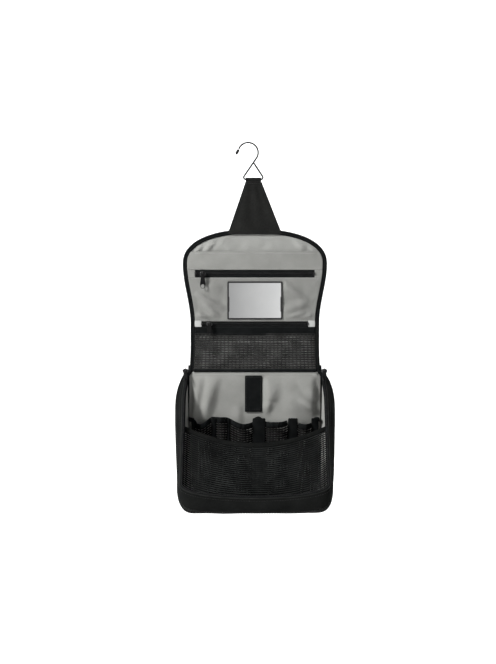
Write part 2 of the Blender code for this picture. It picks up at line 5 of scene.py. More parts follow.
import bmesh
import bpy
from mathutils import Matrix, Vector, noise


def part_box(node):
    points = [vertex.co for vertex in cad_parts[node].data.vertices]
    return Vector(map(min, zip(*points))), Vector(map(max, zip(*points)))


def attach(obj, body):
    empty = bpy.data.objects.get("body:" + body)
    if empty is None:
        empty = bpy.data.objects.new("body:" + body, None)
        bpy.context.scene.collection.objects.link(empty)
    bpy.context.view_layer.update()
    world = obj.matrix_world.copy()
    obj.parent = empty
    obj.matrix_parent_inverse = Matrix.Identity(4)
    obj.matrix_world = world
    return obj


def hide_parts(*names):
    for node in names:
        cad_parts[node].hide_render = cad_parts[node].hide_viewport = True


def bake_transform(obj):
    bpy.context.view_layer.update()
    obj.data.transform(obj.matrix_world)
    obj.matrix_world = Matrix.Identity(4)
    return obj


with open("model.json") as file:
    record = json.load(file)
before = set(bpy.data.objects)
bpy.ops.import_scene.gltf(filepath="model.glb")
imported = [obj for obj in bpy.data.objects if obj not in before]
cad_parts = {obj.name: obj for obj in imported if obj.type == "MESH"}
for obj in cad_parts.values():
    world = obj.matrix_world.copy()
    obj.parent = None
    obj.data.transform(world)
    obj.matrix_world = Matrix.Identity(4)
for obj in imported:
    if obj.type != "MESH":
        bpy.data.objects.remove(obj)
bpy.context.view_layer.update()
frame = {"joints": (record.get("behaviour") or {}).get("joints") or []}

# ---- places read from the frame ----
joints = {joint["name"]: joint for joint in frame["joints"]}
CENTRE_X, FOLD_Y, FOLD_Z = joints["lid_close"]["pos_m"]
BAR_Z = joints["swing_on_hook"]["pos_m"][2]
HANGER_SEAM = Vector(joints["hanger_fold"]["pos_m"])
SLEEVE_LOW, SLEEVE_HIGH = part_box("hanger_sleeve")
MIRROR_LOW, MIRROR_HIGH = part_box("mirror_frame")
STRAP_LOW, STRAP_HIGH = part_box("strap_tab")
TOP_TAPE_LOW, TOP_TAPE_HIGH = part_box("top_zip_tape")
LOW_TAPE_LOW, LOW_TAPE_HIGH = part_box("low_zip_tape")

# ---- sizes that shape the pieces: v is a height above the fold, s a way down the tub's opening ----
LID_LENGTH = 0.212
LID_WAIST = 0.0955
LID_SHOULDER = 0.1072
LID_FLARE = 0.0018           # how much the lid widens from its waist down to the fold
LID_FLARE_TOP = 0.038
LID_WAIST_TOP = 0.072
LID_SHOULDER_V = 0.160
LID_DOME_POWER = 2.3         # 2 is an ellipse, more is squarer
ZIP_TAPE = 0.0068            # width of the tape round the lid
LINING_INSET = ZIP_TAPE - 0.0004
COVER_INSET = ZIP_TAPE - 0.0008
COIL_RADIUS = 0.0010
SLIP_EDGE_V = 0.178
SLIP_SEAM_V = TOP_TAPE_HIGH.z - FOLD_Z
FACING_V = 0.053             # top of the lid's net
FACE_Y = -0.0015             # middle of the fabrics on the lid's face
HANGER_FOOT_HALF = 0.0405

OPENING_ANGLE = radians(30.2)
RIM_DEPTH = 0.0033           # of the rim's edge under the plane of the opening
RIM_START = 0.0035
RIM_HALF_TOP = 0.1030
RIM_HALF = 0.1062
RIM_WIDEN_LENGTH = 0.045
RIM_SIDE_END = 0.176
RIM_ROUNDING = 0.0225
RIM_POWER = 2.3
TUB_HEIGHT = 0.1920
TUB_BACK_HALF = 0.0980
TUB_BACK_Y = 0.0030
TUB_TOP_V = -0.0035
TUB_CORNER = 0.028
TUB_SHOULDER_HALF = 0.1022
TUB_WIDE_HALF = 0.1160
TUB_SHOULDER_LENGTH = 0.055
TUB_SHOULDER_POWER = 2.8
TUB_TAPER = 0.0050           # how much the wall draws in above the lower corners
TUB_FLOOR_V = -0.1955
TUB_FLOOR_Y = -0.0940
LOWER_CORNER_HALF = 0.080
LOWER_CORNER_POWER = 3.0
COIL_INSET = 0.0030
LINING_START = 0.035         # place along the wall where the gusset's lining begins
FRONT_BAND_SIDE = 0.014
FRONT_BAND_BOTTOM = 0.026
MESH_DEPTH = 0.0110
MESH_HALF = 0.1040
MESH_SIDE_S = 0.090
MESH_SAG = 0.027
MESH_MEAN_HEIGHT = 0.092
ORGANISER_TOP_V = -0.0710
ORGANISER_Y = -0.0007
ORGANISER_HALF = 0.0935
ORGANISER_HEIGHT = 0.106
POCKET_DEPTH = 0.0115
# The organiser's tapes: the middle and the half width of each.
DIVIDERS = ((-0.0915, 0.0020), (-0.0610, 0.0035), (-0.0390, 0.0020), (0.0060, 0.0095), (0.0560, 0.0070),
            (0.0885, 0.0050))

# Soft folds: where each starts and ends across and up its panel, its width and its height.
TOP_LINING_FOLDS = (((-0.072, 0.180), (-0.060, 0.199), 0.0044, 0.0056),
                    ((-0.086, 0.180), (-0.077, 0.190), 0.0036, 0.0030),
                    ((-0.050, 0.190), (-0.044, 0.203), 0.0030, 0.0020),
                    ((0.060, 0.196), (0.075, 0.180), 0.0046, 0.0050),
                    ((0.082, 0.188), (0.092, 0.174), 0.0040, 0.0018))
MIRROR_POCKET_FOLDS = (((-0.084, 0.114), (-0.044, 0.092), 0.0044, 0.0046),
                       ((-0.076, 0.103), (-0.052, 0.079), 0.0052, 0.0040),
                       ((-0.088, 0.086), (-0.066, 0.079), 0.0032, 0.0042),
                       ((-0.075, 0.132), (-0.050, 0.118), 0.008, 0.0022),
                       ((0.043, 0.128), (0.080, 0.104), 0.0065, 0.0050),
                       ((0.046, 0.092), (0.090, 0.106), 0.0065, 0.0040),
                       ((0.050, 0.080), (0.076, 0.088), 0.0040, 0.0032),
                       ((0.066, 0.078), (0.090, 0.086), 0.0030, 0.0024),
                       ((-0.030, 0.0770), (0.030, 0.0775), 0.003, 0.0014))
LID_NET_FOLDS = (((0.020, 0.010), (0.060, 0.046), 0.010, 0.0028),
                 ((-0.050, 0.008), (-0.010, 0.048), 0.012, 0.0024))
LID_BACK_FOLDS = (((-0.078, 0.050), (-0.040, 0.006), 0.008, 1.4),
                  ((-0.008, 0.052), (0.022, 0.004), 0.009, 1.4),
                  ((0.050, 0.050), (0.078, 0.006), 0.008, 1.4))
TUB_BACK_FOLDS = (((-0.080, -0.006), (-0.093, -0.080), 0.0064, 0.0052),
                  ((-0.061, -0.004), (-0.078, -0.080), 0.0086, 0.0092),
                  ((-0.030, -0.050), (-0.016, -0.078), 0.0090, 0.0020),
                  ((0.025, -0.010), (0.021, -0.044), 0.0108, 0.0128),
                  ((0.022, -0.042), (0.004, -0.064), 0.0080, 0.0092),
                  ((0.070, -0.004), (0.092, -0.044), 0.0080, 0.0104),
                  ((0.048, -0.016), (0.058, -0.060), 0.0090, 0.0030),
                  ((0.064, -0.038), (0.096, -0.062), 0.0076, 0.0094))


# ---- small helpers ----
def lerp(a, b, t):
    return a + (b - a) * t


def smooth(t):
    t = min(1.0, max(0.0, t))
    return t * t * (3.0 - 2.0 * t)


def steps(count):
    """Even steps from 0 to 1."""
    return [i / count for i in range(count + 1)]


def spread(count):
    """Even steps from -1 to 1."""
    return [2 * k / count - 1 for k in range(count + 1)]


def bump_at(value, centre, width):
    """A soft hill of height 1 about centre."""
    return exp(-((value - centre) / width) ** 2)


def wobble(x, v, scale, seed):
    """Smooth noise between about -1 and 1."""
    return noise.noise(Vector((x * scale, v * scale, seed)))


def at(x, v, y):
    """A point from its place across the bag, its height above the fold and its y."""
    return Vector((CENTRE_X + x, y, FOLD_Z + v))


def slant(x, s, n):
    """A point from its place on the tub's opening plane and its depth below that plane."""
    sin_a = sin(OPENING_ANGLE)
    cos_a = cos(OPENING_ANGLE)
    return Vector((CENTRE_X + x, FOLD_Y - s * sin_a + n * cos_a, FOLD_Z - s * cos_a - n * sin_a))


def moved(points, y, z=0.0):
    """The same points, shifted along y and z."""
    return [p + Vector((0, y, z)) for p in points]


def mirrored(point):
    return Vector((2 * CENTRE_X - point.x, point.y, point.z))


def both_sides(half):
    """A line that ends on the bag's middle, and its mirror image back from there."""
    return half + [mirrored(p) for p in reversed(half[:-1])]


OPENING_OUT = Vector((0, -cos(OPENING_ANGLE), sin(OPENING_ANGLE)))
FRONT = Vector((0, -1, 0))


# ---- materials ----
class Nodes:
    """Short calls for the nodes of a material or of the world."""

    def __init__(self, owner):
        owner.use_nodes = True
        self.tree = owner.node_tree

    def feed(self, socket, value):
        if isinstance(value, bpy.types.NodeSocket):
            self.tree.links.new(value, socket)
        else:
            socket.default_value = value

    def node(self, kind, inputs, **settings):
        """The outputs of a new node, with its settings made and its inputs fed."""
        made = self.tree.nodes.new(kind)
        for key, value in settings.items():
            setattr(made, key, value)
        for key, value in inputs.items():
            self.feed(made.inputs[key], value)
        return made.outputs

    def math(self, operation, *values):
        return self.node("ShaderNodeMath", dict(enumerate(values)), operation=operation)[0]

    def scaled(self, value, gain, base):
        return self.math("MULTIPLY_ADD", value, gain, base)


class Shader(Nodes):
    """A Principled material and the patterns that colour it."""

    def __init__(self, name, roughness, metallic=0.0, specular=0.5):
        self.material = bpy.data.materials.new(name)
        super().__init__(self.material)
        self.main = self.tree.nodes["Principled BSDF"].inputs
        self.main["Roughness"].default_value = roughness
        self.main["Metallic"].default_value = metallic
        self.main["Specular IOR Level"].default_value = specular

    def cloth(self):
        """The fabric's own coordinates, in metres along and across its threads."""
        return self.node("ShaderNodeAttribute", {}, attribute_name="cloth")["Vector"]

    def position(self):
        return self.node("ShaderNodeTexCoord", {})["Object"]

    def noise(self, vector, scale, detail, roughness=0.55):
        inputs = {"Vector": vector, "Scale": scale, "Detail": detail, "Roughness": roughness}
        return self.node("ShaderNodeTexNoise", inputs)["Fac"]

    def wave(self, coordinate, pitch, phase=0.0):
        """A sine wave with one turn in each pitch."""
        return self.math("SINE", self.scaled(coordinate, 2 * pi / pitch, phase))

    def ramp(self, factor, dark, light, low=0.0, high=1.0):
        outputs = self.node("ShaderNodeValToRGB", {"Fac": factor})
        stops = outputs[0].node.color_ramp.elements
        for k, (place, colour) in enumerate(((low, dark), (high, light))):
            stops[k].position = place
            stops[k].color = (*colour, 1.0)
        return outputs["Color"]

    def finish(self, colour, height, distance, strength, roughness=None):
        """Joins the colour, the bumps and the roughness to the material."""
        self.feed(self.main["Base Color"], colour)
        if roughness is not None:
            self.feed(self.main["Roughness"], roughness)
        bump = self.node("ShaderNodeBump", {"Strength": strength, "Distance": distance, "Height": height})
        self.feed(self.main["Normal"], bump["Normal"])
        return self.material


def woven(name, dark, light, specular, roughness=0.66, pitch=0.00045, crease=3.0, distance=0.00007):
    """Plain-weave cloth: crossing threads, slubs, a little colour drift and small creases."""
    s = Shader(name, roughness, specular=specular)
    cloth = s.cloth()
    x, y, _ = s.node("ShaderNodeSeparateXYZ", {0: cloth})
    weave = s.math("MULTIPLY", s.wave(x, pitch), s.wave(y, pitch))
    slub = s.noise(cloth, 0.35 / pitch, 2.0)
    drift = s.noise(cloth, 32.0, 4.0)
    creases = s.noise(cloth, 75.0, 4.0, 0.6)
    tone = s.scaled(weave, 0.10, s.scaled(slub, 0.35, s.math("MULTIPLY", drift, 0.65)))
    height = s.scaled(creases, crease, s.scaled(slub, 0.5, weave))
    rough = s.scaled(drift, 0.18, roughness - 0.09)
    return s.finish(s.ramp(tone, dark, light, 0.30, 0.75), height, distance, 0.9, rough)


def ribbed(name, dark, light, pitch, roughness, highlight_bands=None):
    """Woven tape: ribs along it, broken by a finer cross thread. The last argument gives the pitch and gain of
    paler bands, a painted highlight for light caught along the net's rows.
    """
    s = Shader(name, roughness, specular=0.05)
    cloth = s.cloth()
    x, y, _ = s.node("ShaderNodeSeparateXYZ", {0: cloth})
    height = s.math("ADD", s.wave(y, pitch), s.math("MULTIPLY", s.wave(x, pitch * 1.3), 0.45))
    tone = s.scaled(height, 0.12, s.noise(cloth, 60.0, 3.0))
    colour = s.ramp(tone, dark, light, 0.30, 0.75)
    if highlight_bands:
        # Painted highlight: paler bands along the rows stand in for light caught by the net's cross yarns.
        lift = s.math("POWER", s.scaled(s.wave(y, highlight_bands[0], pi / 2), 0.5, 0.5), 3.0)
        patchy = s.math("MULTIPLY", s.noise(cloth, 18.0, 2.0), 2 * highlight_bands[1])
        gain = s.math("ADD", s.math("MULTIPLY", patchy, lift), 0.6)
        colour = s.node("ShaderNodeVectorMath", {0: colour, "Scale": gain}, operation="SCALE")[0]
    return s.finish(colour, height, 0.00009, 0.9)


def moulded(name, dark, light, roughness, metallic=0.0, scale=900.0, specular=0.5):
    """Moulded plastic or painted metal with a faint grain."""
    s = Shader(name, roughness, metallic, specular)
    place = s.position()
    cloud = s.noise(place, 60.0, 3.0)
    colour = s.ramp(cloud, dark, light, 0.35, 0.7)
    rough = s.scaled(cloud, 0.25, roughness - 0.12)
    return s.finish(colour, s.noise(place, scale, 3.0), 0.00002, 0.6, rough)


def silvered(name):
    """Mirror glass with a faint haze."""
    s = Shader(name, 0.05, 1.0)
    place = s.position()
    haze = s.noise(place, 25.0, 3.0)
    colour = s.ramp(haze, (0.84, 0.845, 0.84), (0.90, 0.90, 0.895), 0.3, 0.7)
    return s.finish(colour, s.noise(place, 14.0, 2.0), 0.00002, 0.3, s.scaled(haze, 0.06, 0.02))


COARSE = {"roughness": 0.9, "pitch": 0.0007, "crease": 2.0, "distance": 0.00009}
SIDE = woven("gusset_cloth", (0.0026, 0.0029, 0.0028), (0.0070, 0.0074, 0.0071), 0.03, **COARSE)
SHELL = woven("shell_cloth", (0.0040, 0.0044, 0.0042), (0.0110, 0.0116, 0.0111), 0.04, **COARSE)
WEB = woven("hanger_cloth", (0.0066, 0.0068, 0.0064), (0.0185, 0.0187, 0.0178), 0.08, 0.85, 0.0009,
            distance=0.00012)
LINING = woven("lining_cloth", (0.245, 0.247, 0.234), (0.330, 0.333, 0.316), 0.2, 0.62)
SLIP = woven("slip_cloth", (0.205, 0.206, 0.194), (0.285, 0.287, 0.271), 0.2)
# The mirror pocket's cloth: a darker copy of the lining, its darkness painted shade for the panel's folds.
POCKET_PAINTED_SHADE = woven("pocket_cloth_painted_shade", (0.178, 0.179, 0.169), (0.250, 0.252, 0.238), 0.2)
# The zip-end tabs' grey cloth, paler than the lining; part of that paleness is painted sheen.
TAB_PAINTED_SHEEN = woven("zip_end_cloth_painted_sheen", (0.40, 0.405, 0.395), (0.50, 0.505, 0.49), 0.2, 0.6)
TAPE = ribbed("tape_cloth", (0.0030, 0.0036, 0.0038), (0.0082, 0.0090, 0.0092), 0.0009, 0.85)
# Piping and some stitches: a lighter copy of the black tape, its extra lightness painted sheen.
PIPING_PAINTED_SHEEN = ribbed("piping_cloth_painted_sheen", (0.011, 0.0115, 0.011), (0.024, 0.025, 0.024), 0.0009, 0.8)
NET = ribbed("net_yarn", (0.0200, 0.0200, 0.0192), (0.0510, 0.0510, 0.0492), 0.0005, 0.85)
# The front net's yarn, with paler bands of painted highlight along its rows.
HIGHLIGHT_BANDED_NET = ribbed("net_yarn_painted_highlight_bands", (0.0012, 0.0013, 0.0013), (0.0030, 0.0032, 0.0031), 0.0005, 0.85,
              (0.0033, 14.0))
GATHERED = ribbed("organiser_yarn", (0.0060, 0.0060, 0.0058), (0.0160, 0.0160, 0.0155), 0.0005, 0.85)
THREAD_BLACK = moulded("black_thread", (0.004, 0.004, 0.004), (0.010, 0.010, 0.010), 0.8)
THREAD_GREY = moulded("grey_thread", (0.30, 0.30, 0.29), (0.40, 0.40, 0.39), 0.6)
COIL = moulded("zip_nylon", (0.0030, 0.0030, 0.0034), (0.0080, 0.0080, 0.0084), 0.5, specular=0.2)
METAL = moulded("zip_painted_zinc", (0.006, 0.006, 0.0065), (0.015, 0.015, 0.015), 0.28, 0.0, 1500.0)
PULL = moulded("pull_black_paint", (0.003, 0.003, 0.0032), (0.008, 0.008, 0.008), 0.38, 0.0, 1500.0, 0.10)
WIRE = moulded("wire_steel", (0.020, 0.020, 0.021), (0.042, 0.042, 0.042), 0.42, 0.6, 2500.0, 0.2)
CAP = moulded("cap_plastic", (0.008, 0.008, 0.0085), (0.016, 0.016, 0.016), 0.5, specular=0.15)
BEZEL = moulded("mirror_bezel", (0.006, 0.006, 0.006), (0.014, 0.014, 0.014), 0.5)
GLASS = silvered("mirror_silver")


# ---- mesh building ----
def add_object(name, data):
    made = bpy.data.objects.new(name, data)
    bpy.context.scene.collection.objects.link(made)
    return made


def new_piece(name, mesh, look):
    """A piece with its look, in that look's own slot."""
    piece = add_object(name, mesh)
    mesh.materials.append(look)
    return piece


def put(piece, body, *nodes):
    """Puts a piece on the body it moves with, and hides the CAD solids it stands for."""
    if nodes:
        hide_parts(*nodes)
    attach(piece, body)


def grid_mesh(name, rows):
    """A sheet from rows of points, with its cloth coordinates measured along its threads."""
    columns = len(rows[0])
    quads = [(k, k + 1, k + columns + 1, k + columns)
             for i in range(len(rows) - 1) for k in range(i * columns, (i + 1) * columns - 1)]
    mesh = bpy.data.meshes.new(name)
    mesh.from_pydata([tuple(p) for row in rows for p in row], [], quads)
    cloth = []
    down = 0.0
    for above, row in zip(rows[:1] + rows, rows):
        down += (row[columns // 2] - above[columns // 2]).length
        line = [0.0]
        for a, b in zip(row, row[1:]):
            line.append(line[-1] + (b - a).length)
        cloth += [c for value in line for c in (value - line[-1] / 2, down, 0.0)]
    attribute = mesh.attributes.new("cloth", "FLOAT_VECTOR", "POINT")
    attribute.data.foreach_set("vector", cloth)
    mesh.shade_smooth()
    return mesh


def thicken(piece, thickness, offset=0.0):
    solid = piece.modifiers.new("thickness", "SOLIDIFY")
    solid.thickness = thickness
    solid.offset = offset


def sheet(name, rows, look, thickness=0.0, subdivide=0):
    """A piece made of rows of points, smoothed and thickened where that is asked for."""
    piece = new_piece(name, grid_mesh(name, rows), look)
    if subdivide:
        level = piece.modifiers.new("smooth", "SUBSURF")
        level.levels = subdivide
        level.render_levels = subdivide
    if thickness:
        thicken(piece, thickness)
    return piece


def path_length(path):
    return sum((b - a).length for a, b in zip(path, path[1:]))


def stretched(name, rows, look, thickness, rests_on, body, *nodes, ease=1.0):
    """A sheet for a panel that is sewn in along its edges, thickened and put on its body."""
    piece = sheet(name, rows, look, thickness)
    put(piece, body, *nodes)


def weld(mesh):
    """Joins a swept mesh where its rows meet and closes its ends."""
    b = bmesh.new()
    b.from_mesh(mesh)
    bmesh.ops.remove_doubles(b, verts=b.verts, dist=1e-6)
    ends = [e for e in b.edges if e.is_boundary]
    if ends:
        bmesh.ops.holes_fill(b, edges=ends, sides=0)
    bmesh.ops.recalc_face_normals(b, faces=b.faces)
    b.to_mesh(mesh)
    b.free()


def tube_mesh(name, path, radius, sides=10, flatten=1.0, up=Vector((0, 1, 0)), taper=None):
    """A tube swept along a path. flatten squeezes it along `up`."""
    rows = []
    last = len(path) - 1
    for i, p in enumerate(path):
        along = (path[min(i + 1, last)] - path[max(i - 1, 0)]).normalized()
        side = along.cross(up)
        side = side.normalized() if side.length > 1e-6 else along.orthogonal().normalized()
        over = side.cross(along).normalized()
        r = radius * (taper(i / last) if taper else 1.0)
        rows.append([p + side * (r * cos(a)) + over * (r * flatten * sin(a))
                     for a in [2 * pi * k / sides for k in range(sides + 1)]])
    mesh = grid_mesh(name, rows)
    weld(mesh)
    return mesh


def tube(name, path, radius, look, *shape, **more):
    return new_piece(name, tube_mesh(name, path, radius, *shape, **more), look)


def join_meshes(name, meshes, look):
    """Several meshes as one piece."""
    b = bmesh.new()
    for mesh in meshes:
        b.from_mesh(mesh)
    joined = bpy.data.meshes.new(name)
    b.to_mesh(joined)
    b.free()
    for mesh in meshes:
        bpy.data.meshes.remove(mesh)
    joined.shade_smooth()
    return new_piece(name, joined, look)


def outward_mesh(b, name, rounded=True):
    """The mesh of a finished bmesh, its faces turned outwards."""
    bmesh.ops.recalc_face_normals(b, faces=b.faces)
    mesh = bpy.data.meshes.new(name)
    b.to_mesh(mesh)
    b.free()
    if rounded:
        mesh.shade_smooth()
    return mesh


def skin(b, rings, ends=True):
    """Joins closed rings of corners one after another, and caps the first and the last."""
    count = len(rings[0])
    for first, second in zip(rings, rings[1:]):
        for k in range(count):
            n = (k + 1) % count
            b.faces.new((first[k], first[n], second[n], second[k]))
    if ends:
        b.faces.new(list(reversed(rings[0])))
        b.faces.new(rings[-1])


def six_corners(b, centre, across, up):
    angles = [k * pi / 3 for k in range(6)]
    return [b.verts.new(centre + across * cos(a) + up * sin(a)) for a in angles]


def resample(path, spacing):
    """Points at an even spacing along a path."""
    lengths = [(b - a).length for a, b in zip(path, path[1:])]
    count = max(1, round(sum(lengths) / spacing))
    step = sum(lengths) / count
    points = [path[0]]
    i, used = 0, 0.0
    for k in range(1, count):
        target = k * step
        while used + lengths[i] < target:
            used += lengths[i]
            i += 1
        points.append(path[i].lerp(path[i + 1], (target - used) / lengths[i]))
    points.append(path[-1])
    return points


def stitches(name, paths, look, normal=FRONT, length=0.0026, gap=0.0010, radius=0.00022):
    """Rows of thread stitches along paths that lie on the cloth."""
    b = bmesh.new()
    for path in paths:
        marks = resample(path, length + gap)
        for a, c in zip(marks, marks[1:]):
            end = a + (c - a) * (length / (length + gap))
            out = normal if isinstance(normal, Vector) else normal((a + end) / 2)
            side = (end - a).normalized().cross(out).normalized()
            rings = []
            for t, size, lift in ((0.0, 0.55, -0.6), (0.22, 1.0, 0.25), (0.78, 1.0, 0.25), (1.0, 0.55, -0.6)):
                centre = a.lerp(end, t) + out * (radius * lift)
                rings.append(six_corners(b, centre, side * (radius * size * 1.3), out * (radius * size)))
            skin(b, rings)
    return new_piece(name, outward_mesh(b, name), look)


def coil_teeth(name, path, normal, width, pitch=0.0013, radius=0.00042):
    """A nylon zip chain: one rounded tooth after another, each across the path."""
    b = bmesh.new()
    marks = resample(path, pitch)
    for i, (a, c) in enumerate(zip(marks, marks[1:])):
        along = (c - a).normalized()
        side = along.cross(normal).normalized()
        lean = along * (pitch * 0.16 * (1 if i % 2 else -1))
        rings = []
        for t in (-1.0, -0.86, -0.45, 0.0, 0.45, 0.86, 1.0):
            size = radius * (1.0 if abs(t) < 0.9 else 0.45)
            rise = radius * (1.25 - 0.9 * t * t)
            centre = a + side * (t * width / 2) + normal * rise + lean * t
            rings.append(six_corners(b, centre, along * size, normal * size))
        skin(b, rings)
    return new_piece(name, outward_mesh(b, name), COIL)


def net(name, place, width, height, look, cell, hole, thickness=0.0005):
    """Knitted net: a sheet with one rounded hole in each cell. place(u, v) puts a flat point in space."""
    across = round(width / cell[0])
    up = round(height / cell[1])
    du, dv = width / across, height / up
    corner_cut = 0.45
    b = bmesh.new()
    layer = b.verts.layers.float_vector.new("cloth")
    corners = {}

    def vertex(key, u, v):
        if key not in corners:
            corners[key] = b.verts.new(place(u, v))
            corners[key][layer] = (u, v, 0.0)
        return corners[key]

    for j in range(up):
        for i in range(across):
            u0, v0 = -width / 2 + i * du, j * dv
            outer = [vertex((i + a, j + c), u0 + a * du, v0 + c * dv)
                     for a, c in ((0, 0), (1, 0), (1, 1), (0, 1))]
            hu, hv = hole[0] * du / 2, hole[1] * dv / 2
            ring = []
            for su, sv in ((-1, -1), (1, -1), (1, 1), (-1, 1)):
                pair = [(su * hu, sv * hv * corner_cut), (su * hu * corner_cut, sv * hv)]
                if su * sv < 0:
                    pair.reverse()
                ring += [vertex((i, j, su, sv, k), u0 + du / 2 + p[0], v0 + dv / 2 + p[1])
                         for k, p in enumerate(pair)]
            for k in range(4):
                b.faces.new((outer[k], outer[(k + 1) % 4], ring[(2 * k + 2) % 8], ring[2 * k + 1]))
                b.faces.new((outer[k], ring[2 * k + 1], ring[2 * k]))
    piece = new_piece(name, outward_mesh(b, name), look)
    thicken(piece, thickness)
    return piece


def bevel_edges(piece, width=0.0004):
    edge = piece.modifiers.new("soft_edge", "BEVEL")
    edge.width = width
    edge.segments = 2
    edge.limit_method = "ANGLE"
    edge.angle_limit = radians(50)


def smooth_path(points, count):
    """A Catmull-Rom curve through the points."""
    points = [Vector(p) for p in points]
    padded = [points[0]] + points + [points[-1]]
    path = []
    for a, b, c, d in zip(padded, padded[1:], padded[2:], padded[3:]):
        for t in steps(count)[:-1]:
            path.append(0.5 * ((2 * b) + (c - a) * t + (2 * a - 5 * b + 4 * c - d) * t * t
                               + (3 * b - a - 3 * c + d) * t ** 3))
    path.append(points[-1])
    return path


def ridge(x, v, a, b, width, height):
    """A soft fold along the line from a to b."""
    start, end, point = Vector(a), Vector(b), Vector((x, v))
    along = end - start
    t = min(1.0, max(0.0, (point - start).dot(along) / along.length_squared))
    gap = (point - start.lerp(end, t)).length
    return height * exp(-(gap / width) ** 2) * sin(pi * min(1.0, 0.15 + 0.85 * t))


def folded(x, v, folds, *crumples):
    """The height of folded cloth: its folds, and crumples that each have a height, a scale and a seed."""
    return (sum(ridge(x, v, *fold) for fold in folds)
            + sum(height * wobble(x, v, scale, seed) for height, scale, seed in crumples))


# ---- the lid's outline ----
def lid_half_outline():
    """The lid's right edge from the fold to the top of its dome, as places across and up."""
    points = [(LID_WAIST + LID_FLARE * (1 - t) ** 2, LID_FLARE_TOP * t + 0.001) for t in steps(6)[:-1]]
    points += [(LID_WAIST, lerp(LID_FLARE_TOP, LID_WAIST_TOP, t)) for t in steps(4)[:-1]]
    points += [(lerp(LID_WAIST, LID_SHOULDER, smooth(t)), lerp(LID_WAIST_TOP, LID_SHOULDER_V, t))
               for t in steps(16)[:-1]]
    power = 2 / LID_DOME_POWER
    for t in steps(40):
        angle = t * pi / 2
        points.append((LID_SHOULDER * max(0.0, cos(angle)) ** power,
                       LID_SHOULDER_V + (LID_LENGTH - LID_SHOULDER_V) * sin(angle) ** power))
    return points


def lid_edge(inset):
    """The lid's whole edge, moved inwards."""
    half = lid_half_outline()
    full = half + [(-x, v) for x, v in reversed(half[:-1])]
    last = len(full) - 1
    edge = []
    for i, (x, v) in enumerate(full):
        along = (Vector(full[min(last, i + 1)]) - Vector(full[max(0, i - 1)])).normalized()
        if i in (0, last):
            along = Vector((0.0, copysign(1.0, along.y)))
        edge.append((x - along.y * inset, v + along.x * inset))
    return edge


EDGES = {}


def lid_half_width(v, inset):
    """Half the lid's width at a height, less the inset."""
    if inset not in EDGES:
        EDGES[inset] = [p for p in lid_edge(inset) if p[0] >= 0]
    edge = EDGES[inset]
    for low, high in zip(edge, edge[1:]):
        if low[1] <= v <= high[1]:
            return lerp(low[0], high[0], (v - low[1]) / (high[1] - low[1]))
    return edge[0][0] if v < edge[0][1] else 0.0


def lid_top(x, inset):
    """Height of the lid's dome over x."""
    edge = [p for p in lid_edge(inset) if p[0] >= 0 and p[1] > LID_SHOULDER_V]
    for low, high in zip(edge, edge[1:]):
        if high[0] <= abs(x) <= low[0]:
            return lerp(low[1], high[1], (low[0] - abs(x)) / max(1e-9, low[0] - high[0]))
    return edge[-1][1]


def lid_rows(v_low, v_high, depth, across, up, inset=LINING_INSET):
    """Rows over the lid's face between two heights. depth(x, v) gives y."""
    rows = []
    for q in steps(up):
        v = lerp(v_low, v_high, q)
        half = lid_half_width(v, inset)
        rows.append([at(t * half, v, depth(t * half, v)) for t in spread(across)])
    return rows


def edge_fade(x, v, v_low, v_high, reach=0.012):
    """0 on a panel's edges, and 1 further in than the reach."""
    side = (lid_half_width(v, LINING_INSET) - abs(x)) / reach
    return smooth(min(side, (v - v_low) / reach, (v_high - v) / reach))


# ---- hook ----
def hook():
    """The bent wire with its triangle eye, and the thicker tip."""
    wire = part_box("hook_wire")[1].z / 2
    crook = 0.0148           # radius of the hook's bow
    bend = 0.0034            # height of the eye's lower bends
    rounding = 0.0016
    tip, leg = radians(146), radians(-33)
    angles = [lerp(tip, leg, t) for t in steps(48)]
    arc = [Vector((crook * cos(a), 0.0, wire - crook + crook * sin(a))) for a in angles]
    left, right = SLEEVE_LOW.x, SLEEVE_HIGH.x
    corners = [arc[-1], Vector((left - 0.0035, 0.0, BAR_Z + bend)), Vector((left - 0.0012, 0.0, BAR_Z)),
               Vector((right + 0.0012, 0.0, BAR_Z)), Vector((right + 0.0030, 0.0, BAR_Z + bend)),
               Vector((CENTRE_X - 0.0014, 0.0030, BAR_Z + 0.0247))]
    route = []
    for before, corner, after in zip(corners, corners[1:], corners[2:]):
        start = corner + (before - corner).normalized() * rounding
        end = corner + (after - corner).normalized() * rounding
        route += [start.lerp(corner, t).lerp(corner.lerp(end, t), t) for t in steps(8)]
    along = Vector((-0.45, 0.0, -0.89)).normalized()
    end = arc[0] + along * 0.0032
    path = resample([end] + arc + route + [corners[-1]], 0.0009)
    put(tube("wire_hook", path, wire, WIRE, 14), "hook", "hook_wire")
    profile = [0.0, 0.62, 0.86, 0.97, 1.0, 1.0, 1.0, 1.0, 0.98, 0.9, 0.7, 0.25]
    path = [end + along * (0.0002 + 0.0092 * t) for t in steps(11)]
    cap = tube("hook_tip", path, 0.0022, CAP, 16, taper=lambda t: profile[round(t * 11)])
    put(cap, "hook", "hook_tip_cap")


